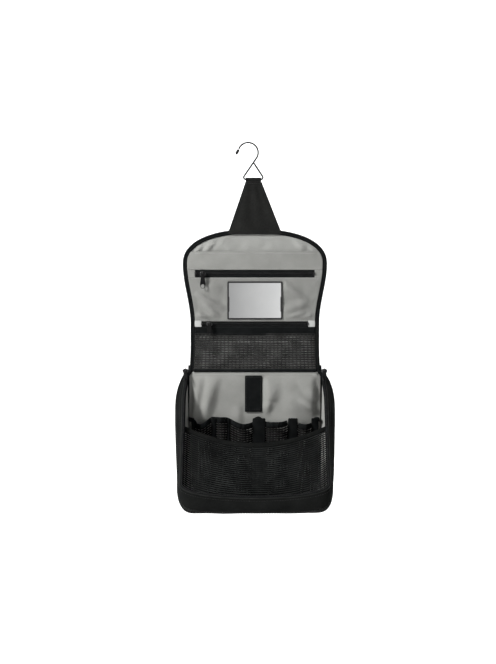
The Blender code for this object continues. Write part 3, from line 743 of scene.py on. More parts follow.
# ---- hanger ----
def hanger():
    """The tapered panel, doubled over the hook's bar and sewn down below it."""
    foot = HANGER_SEAM.z - FOLD_Z - 0.0088
    top = BAR_Z - FOLD_Z
    middle = (SLEEVE_LOW.x + SLEEVE_HIGH.x) / 2 - CENTRE_X
    top_half = (SLEEVE_HIGH.x - SLEEVE_LOW.x) / 2

    def row(v, y, across=26, narrow=0.0):
        q = (v - foot) / (top - foot)
        half = lerp(HANGER_FOOT_HALF, top_half + 0.0004, min(1.0, q * 1.04)) - narrow
        fade = sin(pi * min(1, max(0, q)))
        line = []
        for t in spread(across):
            x = middle * q + t * half
            ripple = 0.0005 * sin(9 * t + 14 * v) + 0.0008 * wobble(x, v, 28, 3.1)
            line.append(at(x, v, y + ripple * fade))
        return line

    front = [row(lerp(foot, top - 0.0035, t), lerp(-0.0027, -0.0012, smooth(t * 6))) for t in steps(40)]
    panel = sheet("hanger_web", front, WEB, 0.0019, 1)
    bevel_edges(panel)
    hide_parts("hanger_panel")
    loop = []
    for t in steps(18):
        angle = lerp(-0.42 * pi, 1.42 * pi, t)
        line = []
        for u in spread(14):
            radius = 0.0026 * (1 + 0.05 * sin(6 * u + 2))
            line.append(Vector((CENTRE_X + middle + u * top_half, -radius * cos(angle),
                                BAR_Z + radius * sin(angle))))
        loop.append(line)
    tail = [[Vector((p.x, -0.0022 + 0.0004 * q, BAR_Z - 0.0022 - 0.0046 * q)) for p in loop[0]]
            for q in (1.0, 0.5)]
    put(sheet("hanger_loop", tail + loop, WEB, 0.0009, 1), "hanger", "hanger_sleeve")
    lines = [moved(row(top - drop, -0.0014, 12, 0.0012), -0.0016) for drop in (0.0040, 0.0062)]
    for edge in (0, -1):
        lines.append([row(lerp(foot + 0.022, top - 0.006, t), -0.0023, 12, 0.0028)[edge] for t in steps(24)])
    thread = stitches("hanger_stitching", lines, THREAD_BLACK, FRONT, 0.0022, 0.0008, 0.0003)
    put(thread, "hanger")
    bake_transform(panel)


# ---- lid ----
def lid_shell():
    """Outer cover, zip tape round the edge, and the nylon chain on it."""
    def back(x, v):
        side = (lid_half_width(v, COVER_INSET) - abs(x)) / 0.018
        fade = smooth(min(1.0, side, (lid_top(x, COVER_INSET) - v) / 0.018, v / 0.012))
        return 0.0024 + fade * (0.0012 + 0.0005 * wobble(x, v, 24, 8.0))

    rows = lid_rows(0.002, LID_LENGTH - COVER_INSET - 0.0003, back, 44, 60, COVER_INSET)
    stretched("lid_cover", rows, SHELL, 0.0010, "lid_edge_tape", "lid", "lid_outer", "lid_stiffener")
    profile = ((0.0016, 0.0006), (0.0013, -0.0009), (0.0018, -0.0018), (0.0028, -0.0022), (0.0034, -0.0018),
               (0.0040, -0.0014), (0.0047, -0.0014), (0.0053, -0.0019), (0.0061, -0.0023), (0.0068, -0.0019),
               (0.0071, -0.0008), (0.0071, 0.0016), (0.0062, 0.0030), (0.0040, 0.0032), (0.0022, 0.0026),
               (0.0016, 0.0006))
    ring = [[at(x, v, y) for x, v in lid_edge(inset)] for inset, y in profile]
    tape = sheet("lid_edge_tape", ring, TAPE)
    weld(tape.data)
    put(tape, "lid", "lid_zip_tape")
    edge = [at(x, v, 0.0004) for x, v in lid_edge(COIL_RADIUS)]
    put(tube("lid_chain_core", edge, 0.0006, COIL, 6), "lid")
    put(coil_teeth("lid_chain", edge, FRONT, 0.0021), "lid", "lid_zip_coil")
    seam = [at(x, v, -0.0015) for x, v in lid_edge(0.0044)]
    put(stitches("lid_edge_stitching", [seam], PIPING_PAINTED_SHEEN), "lid")


def lid_top_lining():
    """The pale lining in the dome, above the slip pocket."""
    def recess(x, v):
        fade = edge_fade(x, v, SLIP_EDGE_V - 0.02, LID_LENGTH - LINING_INSET, 0.01)
        folds = folded(x, v, TOP_LINING_FOLDS, (0.0010, 45, 1.0), (0.0006, 90, 4.0))
        room = lerp(0.0080, 0.0011, smooth((v - 0.180) / 0.012))
        return -0.0004 - fade * folds / sqrt(1 + (folds / room) ** 2)

    rows = lid_rows(0.150, LID_LENGTH - LINING_INSET - 0.0003, recess, 90, 34)
    stretched("lid_top_lining", rows, LINING, 0.0004, "lid_edge_tape", "lid", "lid_lining", ease=1.01)


def grey_hems(name, top, bottom, drop):
    """The rows of thread along a panel's upper and lower hems."""
    lines = [moved(top, -0.0004, -drop), moved(bottom, -0.0004, 0.0016)]
    put(stitches(name, lines, THREAD_GREY, FRONT, 0.0022, 0.0009, 0.00018), "lid")


def slip_pocket():
    """The slip pocket's panel with its hemmed edge, and the cloth beside the zip below it."""
    def slip(x, v):
        q = (v - SLIP_SEAM_V) / (SLIP_EDGE_V - SLIP_SEAM_V)
        fade = smooth((lid_half_width(v, LINING_INSET) - abs(x)) / 0.02)
        waves = (0.0008 * wobble(x, v, 30, 4.0) + 0.0004 * wobble(x, v, 75, 5.0)) * smooth(3 * q)
        return FACE_Y - fade * (0.0022 * smooth(q) + waves)

    rows = lid_rows(SLIP_SEAM_V + 0.0002, SLIP_EDGE_V, slip, 90, 16)
    hem = [moved(row, 0.0009) for row in (rows[-1], rows[-3])]
    panel = sheet("slip_pocket", rows + hem, SLIP, 0.0005)
    put(panel, "lid", "slip_pocket_panel")
    grey_hems("slip_stitching", rows[-1][3:-3], rows[0][2:-2], 0.0028)
    tape_half = (TOP_TAPE_HIGH.x - TOP_TAPE_LOW.x) / 2
    for side, sign in (("left", -1), ("right", 1)):
        patch = []
        for q in steps(8):
            v = lerp(TOP_TAPE_LOW.z - FOLD_Z - 0.001, SLIP_SEAM_V + 0.0004, q)
            half = lid_half_width(v, LINING_INSET)
            patch.append([at(sign * lerp(tape_half - 0.0006, half, t), v, FACE_Y + 0.0001) for t in steps(8)])
        put(sheet(f"zip_end_patch_{side}", patch, SLIP, 0.0005), "lid")


def mirror_pocket():
    """The panel between the two zips, creased round the mirror."""
    low_v = LOW_TAPE_HIGH.z - FOLD_Z - 0.0004
    high_v = TOP_TAPE_LOW.z - FOLD_Z - 0.0002

    def pocket(x, v):
        beside = smooth(max(abs(x) - 0.040, v - 0.134, 0.0776 - v) / 0.006)
        folds = folded(x, v, MIRROR_POCKET_FOLDS, (0.0012, 34, 7.0), (0.0006, 80, 2.0))
        return FACE_Y - edge_fade(x, v, low_v, high_v, 0.010) * beside * folds

    rows = lid_rows(low_v, high_v, pocket, 120, 48)
    stretched("mirror_pocket", rows, POCKET_PAINTED_SHADE, 0.0005, "lid_edge_tape", "lid", "top_pocket_panel", ease=1.01)
    grey_hems("pocket_stitching", rows[-1][3:-3], rows[0][3:-3], 0.0018)


# ---- mirror and zips ----
def rounded_plate(name, low, high, radius, look, bevel=0.0003, border=0.0):
    """An upright slab between two corners with rounded corners, and a rectangular hole inside any border."""
    b = bmesh.new()

    def loops(margin, r):
        """The rounded outline's corners on the slab's front and on its back."""
        left, bottom = low.x + margin + r, low.z + margin + r
        right, top = high.x - margin - r, high.z - margin - r
        points = []
        for number, (x, z) in enumerate(((right, top), (left, top), (left, bottom), (right, bottom))):
            for k in range(5):
                a = radians(90 * number + 22.5 * k)
                points.append((x + r * cos(a), z + r * sin(a)))
        return [[b.verts.new((x, y, z)) for x, z in points] for y in (low.y, high.y)]

    front, back = loops(0.0, radius)
    skin(b, (front, back), not border)
    if border:
        front_in, back_in = loops(border, radius * 0.4)
        skin(b, (back, back_in, front_in, front), False)
    piece = new_piece(name, outward_mesh(b, name, False), look)
    bevel_edges(piece, bevel)
    return piece


def mirror():
    """The mirror's thin moulded frame, its side clips and the glass."""
    bezel = rounded_plate("mirror_bezel", MIRROR_LOW, MIRROR_HIGH, 0.0016, BEZEL, border=0.0019)
    put(bezel, "lid", "mirror_frame")
    height = MIRROR_HIGH.z - MIRROR_LOW.z
    for side, x_low, x_high in (("left", MIRROR_LOW.x + 0.0004, MIRROR_LOW.x + 0.0031),
                                ("right", MIRROR_HIGH.x - 0.0031, MIRROR_HIGH.x - 0.0004)):
        low = Vector((x_low, MIRROR_LOW.y - 0.0005, MIRROR_LOW.z + 0.20 * height))
        high = Vector((x_high, MIRROR_LOW.y + 0.0003, MIRROR_LOW.z + 0.60 * height))
        put(rounded_plate(f"mirror_clip_{side}", low, high, 0.0011, BEZEL, 0.0002), "lid")
    low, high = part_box("mirror_glass")
    lip = Vector((0.0003, 0, 0.0003))
    glass = rounded_plate("mirror_face", low - lip, high + lip, 0.0008, GLASS, 0.0001)
    put(glass, "lid", "mirror_glass")


def pocket_zip(prefix, low, high, *pull_size):
    """A closed coil zip on its tape, with its end stops, slider and pull."""
    v_low, v_high = low.z - FOLD_Z, high.z - FOLD_Z
    middle = (v_low + v_high) / 2

    def x_at(t, inset=0.0):
        return lerp(low.x + inset, high.x - inset, t) - CENTRE_X

    rows = []
    for q in steps(14):
        v = lerp(v_low - 0.0012, v_high + 0.0012, q)
        y = FACE_Y + 0.0005 - 0.00035 * bump_at(v, middle, 0.0022)
        rows.append([at(x, v, y + 0.0003 * wobble(x, v, 22, 5)) for x in map(x_at, steps(80))])
    put(sheet(f"{prefix}_zip_band", rows, TAPE, 0.0006), "lid", f"{prefix}_zip_tape")
    line = [at(x_at(t, 0.0024), middle, FACE_Y + 0.0001) for t in steps(60)]
    put(coil_teeth(f"{prefix}_zip_chain", line, FRONT, 0.0034), "lid", f"{prefix}_zip_coil")
    lines = [[at(x, middle + d, FACE_Y - 0.0001) for x in map(x_at, steps(60))] for d in (-0.0027, 0.0027)]
    thread = stitches(f"{prefix}_zip_stitching", lines, THREAD_BLACK, FRONT, 0.0020, 0.0007,
                      0.0002)
    put(thread, "lid")
    for side in ("left", "right"):
        node = f"{prefix}_zip_stop_{side}"
        stop = rounded_plate(f"{prefix}_zip_end_{side}", *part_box(node), 0.0006, METAL)
        put(stop, "lid", node)
    zip_slider(f"{prefix}_zip_slider", f"{prefix}_slider")
    zip_pull(f"{prefix}_zip_pull", f"{prefix}_pull", 0.0, *pull_size)


def tilted(piece, pivot, tilt):
    """Leans a piece built upright about its own origin, and puts it at its pivot."""
    cos_t, sin_t = cos(tilt), sin(tilt)
    for vertex in piece.data.vertices:
        x, y, z = vertex.co
        vertex.co = (pivot.x + x, pivot.y + y * cos_t + z * sin_t, pivot.z - y * sin_t + z * cos_t)


def zip_slider(node, body, tilt=0.0):
    """The slider's waisted plate, its lower plate and the bridge that holds the pull."""
    low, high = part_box(node)
    half_width, half_height = 0.0043, 0.0040
    b = bmesh.new()
    for front_y, back_y, scale in ((-0.0009, 0.0003, 1.0), (0.0008, 0.0016, 0.94)):
        ring = []
        for k in range(32):
            a = 2 * pi * k / 32
            waist = 1 + 0.13 * cos(2 * a) - 0.05 * cos(4 * a)
            ring.append((half_width * scale * waist * cos(a), half_height * scale * sin(a)))
        skin(b, [[b.verts.new((x * size, y, z * size)) for x, z in ring]
                 for y, size in ((front_y, 0.90), (front_y + 0.0003, 1.0), (back_y, 1.0))])
    plates = outward_mesh(b, node + "_plates")
    path = smooth_path([(0.0, -0.0006, 0.0034), (0.0, -0.0019, 0.0030), (0.0, -0.0024, 0.0018),
                        (0.0, -0.0024, -0.0006), (0.0, -0.0019, -0.0022), (0.0, -0.0006, -0.0027)], 5)
    arch = tube_mesh(node + "_arch", path, 0.0008, 10, 0.8, Vector((1, 0, 0)))
    piece = join_meshes(node + "_body", [plates, arch], METAL)
    tilted(piece, (low + high) / 2, tilt)
    put(piece, body, node)


def zip_pull(node, body, tilt, length=0.0195, half=0.0036):
    """The pull tab: a tapered plate with a hole near its end and soft edges."""
    pivot = Vector(next(joint["pos_m"] for joint in frame["joints"] if joint["child"] == body))
    count = 48
    hole_radius = half - 0.0014
    hole_z = half - length
    outline, eye = [], []
    for k in range(count):
        a = 2 * pi * k / count
        width = lerp(0.0026, half, smooth(0.5 - 0.9 * sin(a)))
        outline.append((width * copysign(abs(cos(a)) ** 0.6, cos(a)),
                        0.0008 + (length / 2) * copysign(abs(sin(a)) ** 0.75, sin(a))))
        eye.append((hole_radius * cos(a), hole_radius * sin(a)))
    b = bmesh.new()
    layers = []
    for y, shrink in ((-0.0007, 0.88), (-0.0004, 1.0), (0.0004, 1.0), (0.0007, 0.88)):
        grow = 2 - shrink
        ring = [b.verts.new((x * shrink, y, -length / 2 + z * lerp(1, shrink, 0.35))) for x, z in outline]
        hole = [b.verts.new((x * grow, y, hole_z + z * grow)) for x, z in eye]
        layers.append((ring, hole))
    for loops in zip(*layers):
        skin(b, loops, False)
    for loops in (layers[0], layers[-1]):
        edges = [b.edges.get((loop[k - 1], loop[k])) for loop in loops for k in range(count)]
        bmesh.ops.triangle_fill(b, use_beauty=True, use_dissolve=False, edges=edges)
    piece = new_piece(node + "_tab", outward_mesh(b, node + "_tab", False), PULL)
    tilted(piece, pivot, tilt)
    put(piece, body, node)


# ---- lower lid ----
def zip_tabs():
    """The pale grey cloth at each end of the lower zip, paler than the lining partly by painted sheen."""
    for side in ("left", "right"):
        node = f"low_zip_end_tab_{side}"
        low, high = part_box(node)
        rows = [[Vector((lerp(low.x - 0.001, high.x + 0.001, s), FACE_Y - 0.0004 - 0.0003 * sin(3 * s),
                         lerp(low.z - 0.0006, high.z + 0.0008, t))) for s in steps(6)] for t in steps(8)]
        put(sheet(f"zip_tab_{side}", rows, TAB_PAINTED_SHEEN, 0.0006, 1), "lid", node)


def mesh_pocket_hem():
    """The black facing above the lid's net, and its stitching."""
    top_v = LOW_TAPE_LOW.z - FOLD_Z + 0.0004

    def facing(x, v):
        fade = edge_fade(x, v, FACING_V - 0.02, top_v, 0.006)
        return FACE_Y - 0.0002 - 0.0006 * wobble(x, v, 26, 2.0) * fade

    rows = lid_rows(FACING_V + 0.0016, top_v, facing, 80, 10)
    stretched("mesh_pocket_hem", rows, TAPE, 0.0008, "lid_edge_tape", "lid", "mesh_pocket_facing")
    lines = [moved(row[2:-2], -0.0005, rise) for row, rise in ((rows[0], 0.0016), (rows[-1], -0.0014))]
    put(stitches("mesh_pocket_stitching", lines, THREAD_BLACK), "lid")


def lid_net():
    """The lid's net pocket, which bellies out a little."""
    foot_v = 0.0012
    width, height = 2 * LID_WAIST, FACING_V + 0.0028

    def billow(x, v):
        fade = smooth(min((LID_WAIST - LINING_INSET - abs(x)) / 0.02, v / 0.012, (FACING_V - v) / 0.008))
        return fade * (0.0030 + folded(x, v, LID_NET_FOLDS, (0.0012, 30, 6.0)))

    def place(u, v):
        x = u / LID_WAIST * lid_half_width(foot_v + v, LINING_INSET)
        return at(x, foot_v + v, FACE_Y - 0.0003 - billow(x, v))

    mesh = net("lid_net", place, width, height, NET, (0.0060, 0.0036), (0.90, 0.38), 0.0006)
    put(mesh, "lid", "lid_mesh_panel")


def lid_back_lining():
    """The lining behind the lid's pockets, and the binding along its foot."""
    def backing(x, v):
        creases = 0.5 + folded(x, v, LID_BACK_FOLDS, (1.0, 26, 12.0))
        return 0.0004 - edge_fade(x, v, 0.0, FACING_V + 0.01) * 0.0016 * creases

    rows = lid_rows(0.0012, 0.150, backing, 60, 40)
    stretched("lid_back_lining", rows, LINING, 0.0004, "lid_edge_tape", "lid", ease=1.01)
    half = LID_WAIST - 0.0056
    profile = ((0.0005, -0.0008), (-0.0001, -0.0020), (0.0008, -0.0029), (0.0036, -0.0030), (0.0044, -0.0020))
    foot = [[at(lerp(-half, half, t), v, y) for t in steps(60)] for v, y in profile]
    put(sheet("lid_foot_binding", foot, TAPE, 0.0007, 1), "lid")


# ---- tub surface: u runs along the wall, 0 at the fold, 1 at the corner, 3 at the middle of the floor ---
def rim_point(u, inset=0.0):
    """A point on the edge of the tub's opening."""
    if u <= 1.0:
        s = lerp(RIM_START, RIM_SIDE_END, u)
        return slant(lerp(RIM_HALF_TOP, RIM_HALF, smooth(s / RIM_WIDEN_LENGTH)) - inset, s, RIM_DEPTH)
    angle = (u - 1.0) * pi / 4
    power = 2 / RIM_POWER
    return slant((RIM_HALF - inset) * max(0.0, cos(angle)) ** power,
                 RIM_SIDE_END + (RIM_ROUNDING - inset) * sin(angle) ** power, RIM_DEPTH)


def back_point(u, inset=0.0):
    """A point on the edge of the tub's back."""
    half = TUB_BACK_HALF - inset
    corner = TUB_CORNER - inset
    bottom = -(TUB_HEIGHT - inset)
    if u <= 1.0:
        x, v = half, lerp(TUB_TOP_V, bottom + corner, u)
    elif u <= 2.0:
        angle = (u - 1.0) * pi / 2
        x, v = half - corner * (1 - cos(angle)), bottom + corner * (1 - sin(angle))
    else:
        x, v = (half - corner) * (3.0 - u), bottom
    return at(x, v, TUB_BACK_Y)


def wall_middle(u, start, end):
    """The wall's outermost point between its back edge and its rim."""
    middle = (start + end) / 2
    if u <= 1.0:
        drop = min(1.0, (FOLD_Z - middle.z) / TUB_SHOULDER_LENGTH)
        widening = (TUB_WIDE_HALF - TUB_SHOULDER_HALF) * (1 - (1 - drop) ** TUB_SHOULDER_POWER)
        middle.x = CENTRE_X + TUB_SHOULDER_HALF + widening - TUB_TAPER * u ** 4
    else:
        side = wall_middle(1.0, back_point(1.0), rim_point(1.0))
        corner_x = CENTRE_X + LOWER_CORNER_HALF
        angle = min(1.0, u - 1.0) * pi / 2
        power = 2 / LOWER_CORNER_POWER
        middle.x = corner_x + (side.x - corner_x) * max(0.0, cos(angle)) ** power
        middle.z = side.z + (FOLD_Z + TUB_FLOOR_V - side.z) * sin(angle) ** power
        if u > 2.0:
            middle.x = CENTRE_X + LOWER_CORNER_HALF * (3.0 - u)
    middle.y = lerp(middle.y, TUB_FLOOR_Y, smooth(u - 0.9))
    return middle


def wall_path(u):
    """The wall's curve from its back edge, past its outermost point, to its rim."""
    start = back_point(u)
    end = rim_point(u)
    power = 2 / lerp(2.0, 4.0, smooth(u - 0.9))
    share = 1 - sqrt(0.5) ** power
    knee = (wall_middle(u, start, end) - share * (start + end)) / (1 - 2 * share)
    path = []
    for t in steps(40):
        angle = t * pi / 2
        path.append(start + (knee - start) * sin(angle) ** power
                    + (end - knee) * (1 - max(0.0, cos(angle)) ** power))
    return path


def along_path(path, distance):
    """The point at a distance along a path."""
    for a, b in zip(path, path[1:]):
        step = (b - a).length
        if distance <= step:
            return a.lerp(b, distance / step)
        distance -= step
    return path[-1]


WALLS = {}


def wall(u):
    """The wall's path from its back edge to its rim, and the path's length."""
    key = round(u, 4)
    if key not in WALLS:
        path = wall_path(u)
        WALLS[key] = (path, path_length(path))
    return WALLS[key]


def wall_frame(u, distance):
    """A point on the tub's wall and the normal that points inwards."""
    def place(u, distance):
        return along_path(wall(u)[0], distance)

    step, turn = 0.002, 0.03
    ahead = place(u, distance + step) - place(u, max(0.0, distance - step))
    across = place(min(3.0, u + turn), distance) - place(max(0.0, u - turn), distance)
    return place(u, distance), across.cross(ahead).normalized()


STATIONS = [t ** 1.2 for t in steps(30)] + [1 + t for t in steps(16)[1:]] + [2 + t for t in steps(14)[1:]]


def wall_rows(first, last, inward, count, start=0.0):
    """Rows round the tub, right side to left. inward(u, distance, sign) is their depth inside its wall."""
    right = []
    left = []
    for u in [max(start, u) for u in STATIONS if u > start - 0.03]:
        for sign, rows in ((1, right), (-1, left)):
            row = []
            for q in steps(count):
                distance = lerp(first(u), last(u), q)
                point, normal = wall_frame(u, distance)
                point = point + normal * inward(u, distance, sign)
                row.append(point if sign > 0 else mirrored(point))
            rows.append(row)
    return right + list(reversed(left[:-1]))


def wall_line(distance, lift):
    """A line round the tub, at a distance from its back edge and lifted off its wall."""
    half = []
    for u in STATIONS:
        point, normal = wall_frame(u, distance(u))
        half.append(point - normal * lift)
    return both_sides(half)


def band_width(u):
    return min(lerp(FRONT_BAND_SIDE, FRONT_BAND_BOTTOM, smooth(u - 0.9)), 0.45 * wall(u)[1])


def band_edge(u):
    """Where the seam between gusset and front band lies, as a distance from the back edge."""
    return wall(u)[1] - band_width(u)


def rim_edge(u, inset=0.0006):
    return wall(u)[1] - inset


def tub_walls():
    """Gusset, front band and the seam piping between them."""
    def soft(u, distance, sign):
        arch = sin(pi * distance / wall(u)[1])
        sag = 0.0016 * arch * wobble(u * 0.06 + 0.2 * (sign > 0), distance, 30, 2.0 + sign)
        ripple = sin(26 * distance / wall(u)[1] + 3 * u + sign)
        return 0.0007 + sag + 0.0009 * (1 - smooth(u - 1.2)) * arch * ripple

    rows = wall_rows(lambda u: 0.0, band_edge, soft, 26)
    stretched("gusset_cover", rows, SIDE, 0.0013, "back_piping", "tub", "gusset")
    rows = wall_rows(band_edge, rim_edge, soft, 16)
    stretched("front_band_cover", rows, SHELL, 0.0013, "gusset_piping", "tub", "front_band")
    line = wall_line(band_edge, -0.0003)
    put(tube("gusset_piping", line, 0.0009, PIPING_PAINTED_SHEEN, 8), "tub")


def tub_rim():
    """The rim's binding, zip tape and chain, and the stitching along the front band."""
    def rim_line(inset, lift):
        return both_sides([rim_point(u, inset) + OPENING_OUT * lift for u in STATIONS])

    line = wall_line(lambda u: rim_edge(u, 0.0003), -0.0003)
    put(tube("rim_binding", line, 0.0011, PIPING_PAINTED_SHEEN), "tub")
    profile = ((0.0004, 0.0002), (0.0012, 0.0006), (0.0022, 0.0005), (0.0034, 0.0002), (0.0044, -0.0002),
               (0.0048, -0.0012), (0.0046, -0.0030))
    rows = [rim_line(inset, lift) for inset, lift in profile]
    put(sheet("tub_zip_band", rows, TAPE, 0.0006), "tub", "body_zip_tape")
    chain = coil_teeth("tub_chain", rim_line(COIL_INSET - 0.0004, 0.0004), OPENING_OUT, 0.0022)
    put(chain, "tub", "body_zip_coil")
    seams = (lambda u: band_edge(u) + min(0.0022, 0.3 * band_width(u)),
             lambda u: band_edge(u) - 0.0024,
             lambda u: rim_edge(u, min(0.0045, 0.3 * band_width(u))))
    middle = at(0, -0.12, -0.045)
    thread = stitches("tub_stitching", [wall_line(seam, 0.0002) for seam in seams], THREAD_BLACK,
                      lambda p: (p - middle).normalized())
    put(thread, "tub")


def tub_half(v, inset):
    """Half width of the tub's back at a height."""
    corner = TUB_CORNER - inset
    reach = corner - (TUB_HEIGHT - inset) - v
    if reach <= 0:
        return TUB_BACK_HALF - inset
    return TUB_BACK_HALF - inset - corner + sqrt(max(0.0, corner ** 2 - reach ** 2))


def tub_flat_rows(inset, top_v, depth, across, down, top_round=0.0001):
    """Rows over the tub's back, from its top down. depth(x, v) gives y."""
    rows = []
    for q in steps(down):
        v = lerp(top_v, -(TUB_HEIGHT - inset) + 0.0002, q)
        over = max(0.0, 1 - (top_v - v) / top_round)
        half = tub_half(v, inset) - top_round * (1 - sqrt(1 - over * over))
        rows.append([at(t * half, v, depth(t * half, v)) for t in spread(across)])
    return rows


def tub_back():
    """The back panel and the piping round it."""
    def panel_y(x, v):
        side = (TUB_BACK_HALF - abs(x)) / 0.02
        fade = smooth(min(1.0, side, (v + TUB_HEIGHT) / 0.02, (TUB_TOP_V - v) / 0.01))
        return 0.0026 + fade * (0.0006 + 0.0004 * wobble(x, v, 20, 9.0))

    rows = tub_flat_rows(0.0012, TUB_TOP_V, panel_y, 50, 50)
    stretched("back_cover", rows, SHELL, 0.0012, "back_piping", "tub", "back_panel", "back_stiffener")
    seam = both_sides([back_point(u, 0.0006) for u in STATIONS])
    put(tube("back_piping", seam, 0.0013, TAPE, 8), "tub")


def tub_linings():
    """The creased lining of the tub's back, and the lining of its gusset."""
    strap_x, strap_half = -0.002, 0.012

    def folds(x, v):
        swell = 0.00064 + 0.0060 * bump_at(x, 0.056, 0.026)
        return swell + folded(x, v, TUB_BACK_FOLDS, (0.0016, 24, 15.0))

    def depth(x, v):
        side = (tub_half(v, 0.003) - abs(x)) / (0.012 if x > 0 else 0.004)
        strap = lerp(0.2, 1.0, smooth(max(abs(x - strap_x) - strap_half, 0.0) / strap_half))
        lower = 1 - 0.88 * smooth((-0.070 - v) / 0.018)
        rise = smooth(min(side, (TUB_TOP_V - v) / 0.008)) * strap * lower * folds(x, v)
        room = 0.0010 + 0.42 * max(0.0, TUB_TOP_V - v)
        return -0.0004 - rise / sqrt(1 + (rise / room) ** 2)

    rows = tub_flat_rows(0.0008, -0.0012, depth, 120, 100, 0.006)
    stretched("back_lining_cloth", rows, SLIP, 0.0005, "back_piping", "tub", "back_lining", ease=1.02)

    def inward(u, distance, sign):
        arch = sin(pi * distance / wall(u)[1])
        return 0.0032 + 0.0012 * arch * (0.5 + wobble(u * 0.05 + sign, distance, 40, 3.0))

    rows = wall_rows(lambda u: 0.0026, lambda u: rim_edge(u, 0.0030), inward, 22, LINING_START)
    stretched("gusset_lining_cloth", rows, LINING, 0.0005, "tub_zip_band", "tub", "gusset_lining")


# ---- front net and organiser ----
def mesh_top_s(x):
    """The front net's top edge, which droops in the middle."""
    return MESH_SIDE_S + MESH_SAG * (1 - (x / MESH_HALF) ** 2)


def mesh_foot_s(x):
    """The front net's lower edge, which follows the rim."""
    reach = x / (MESH_HALF + 0.0005)
    return RIM_SIDE_END - 0.004 + (RIM_ROUNDING + 0.006) * sqrt(max(0.0, 1 - reach ** 2))


def front_mesh():
    """The net across the front of the tub, hung between its sides, and its black binding."""
    def surface(x, s):
        sag = 0.0022 * (1 - (x / MESH_HALF) ** 2) * sin(pi * min(1, max(0, (s - 0.08) / 0.125)))
        wave = 0.0016 * wobble(x, s, 22, 21.0) * (1 - (x / MESH_HALF) ** 4)
        return slant(x, s, MESH_DEPTH + 0.0004 + sag + wave)

    def place(u, v):
        return surface(u, lerp(mesh_foot_s(u), mesh_top_s(u) - 0.002, v / MESH_MEAN_HEIGHT))

    width = 2 * MESH_HALF
    mesh = net("front_net", place, width, MESH_MEAN_HEIGHT, HIGHLIGHT_BANDED_NET, (0.0060, 0.0033), (0.93, 0.34))
    put(mesh, "tub", "front_mesh_pocket")
    profile = ((-0.0002, -0.0006), (-0.0010, 0.0008), (-0.0040, 0.0013), (-0.0068, 0.0012), (-0.0080, 0.0),
               (-0.0068, -0.0012), (-0.0040, -0.0013), (-0.0010, -0.0011), (-0.0002, -0.0006))

    def top_line(half, offset, lift):
        """A line across the net near its top edge, lifted out of the tub."""
        places = [lerp(-half, half, t) for t in steps(90)]
        return [surface(x, mesh_top_s(x) + offset) + OPENING_OUT * lift for x in places]

    ring = [top_line(MESH_HALF, offset, lift) for offset, lift in profile]
    band = sheet("front_net_binding", ring, SHELL)
    weld(band.data)
    put(band, "tub", "front_mesh_binding")
    line = top_line(0.102, -0.0018, 0.0014)
    put(stitches("front_net_stitching", [line], PIPING_PAINTED_SHEEN, OPENING_OUT), "tub")


def pocket_bow(x):
    """How far the organiser's net stands off the lining, between one tape and the next."""
    for (left, left_half), (right, right_half) in zip(DIVIDERS, DIVIDERS[1:]):
        start = left + left_half + 0.0008
        end = right - right_half - 0.0008
        if start < x < end:
            t = (x - start) / (end - start)
            return 0.0022 + min(POCKET_DEPTH, 0.6 * (end - start)) * 4 * t * (1 - t)
    return 0.0022


def organiser_foot(x):
    """The organiser net's lower edge, which follows the tub's lower corners."""
    radius = TUB_CORNER - 0.006
    reach = min(radius, max(0.0, abs(x) - (TUB_BACK_HALF - TUB_CORNER)))
    return -(TUB_HEIGHT - TUB_CORNER) - sqrt(radius ** 2 - reach ** 2)


def organiser_top(x):
    """The binding's upper edge: it rises to each tape and droops between them."""
    pair = smooth((x + 0.080) / 0.018) * smooth((-0.014 - x) / 0.034)
    right = smooth((x - 0.008) / 0.02) * smooth((0.066 - x) / 0.02)
    value = ORGANISER_TOP_V - 0.0052 + 0.0100 * pair + 0.0030 * right + 0.0006 * wobble(x, 0.0, 60, 31.0)
    for centre, height in ((-0.0975, 0.0055), (0.0060, 0.0068), (0.0545, 0.0045), (0.0935, 0.0050)):
        value += height * bump_at(x, centre, 0.0090)
    return value


def organiser_surface(x, v):
    """A point on the organiser's net."""
    q = smooth((organiser_top(x) - v) / 0.05)
    gather = 0.0006 * sin(x * 900) * (1 - 0.8 * q)
    bow = pocket_bow(x) * lerp(1.0, 0.75, q)
    return at(x, v, ORGANISER_Y - bow - 0.0006 + gather + 0.001 * wobble(x, v, 35, 4))


def organiser():
    """The gathered net on the back lining, and its elastic binding."""
    def place(u, v):
        return organiser_surface(u, lerp(organiser_foot(u), organiser_top(u) - 0.004, v / ORGANISER_HEIGHT))

    mesh = net("organiser_net", place, 2 * ORGANISER_HALF, ORGANISER_HEIGHT, GATHERED, (0.0044, 0.0033),
               (0.86, 0.29))
    put(mesh, "tub", "organiser_mesh")
    ring = []
    for drop, lift in ((0.0, 0.0), (0.0006, 0.0011), (0.0040, 0.0015), (0.0074, 0.0011), (0.0082, 0.0),
                       (0.0074, -0.0010), (0.0040, -0.0012), (0.0006, -0.0009), (0.0, 0.0)):
        line = []
        for t in steps(150):
            x = lerp(-ORGANISER_HALF, ORGANISER_HALF, t)
            p = organiser_surface(x, organiser_top(x) - drop)
            p.y -= lift + 0.0004 * sin(x * 1500 + drop * 300)
            line.append(p)
        ring.append(line)
    band = sheet("organiser_elastic", ring, TAPE)
    weld(band.data)
    put(band, "tub", "organiser_binding")


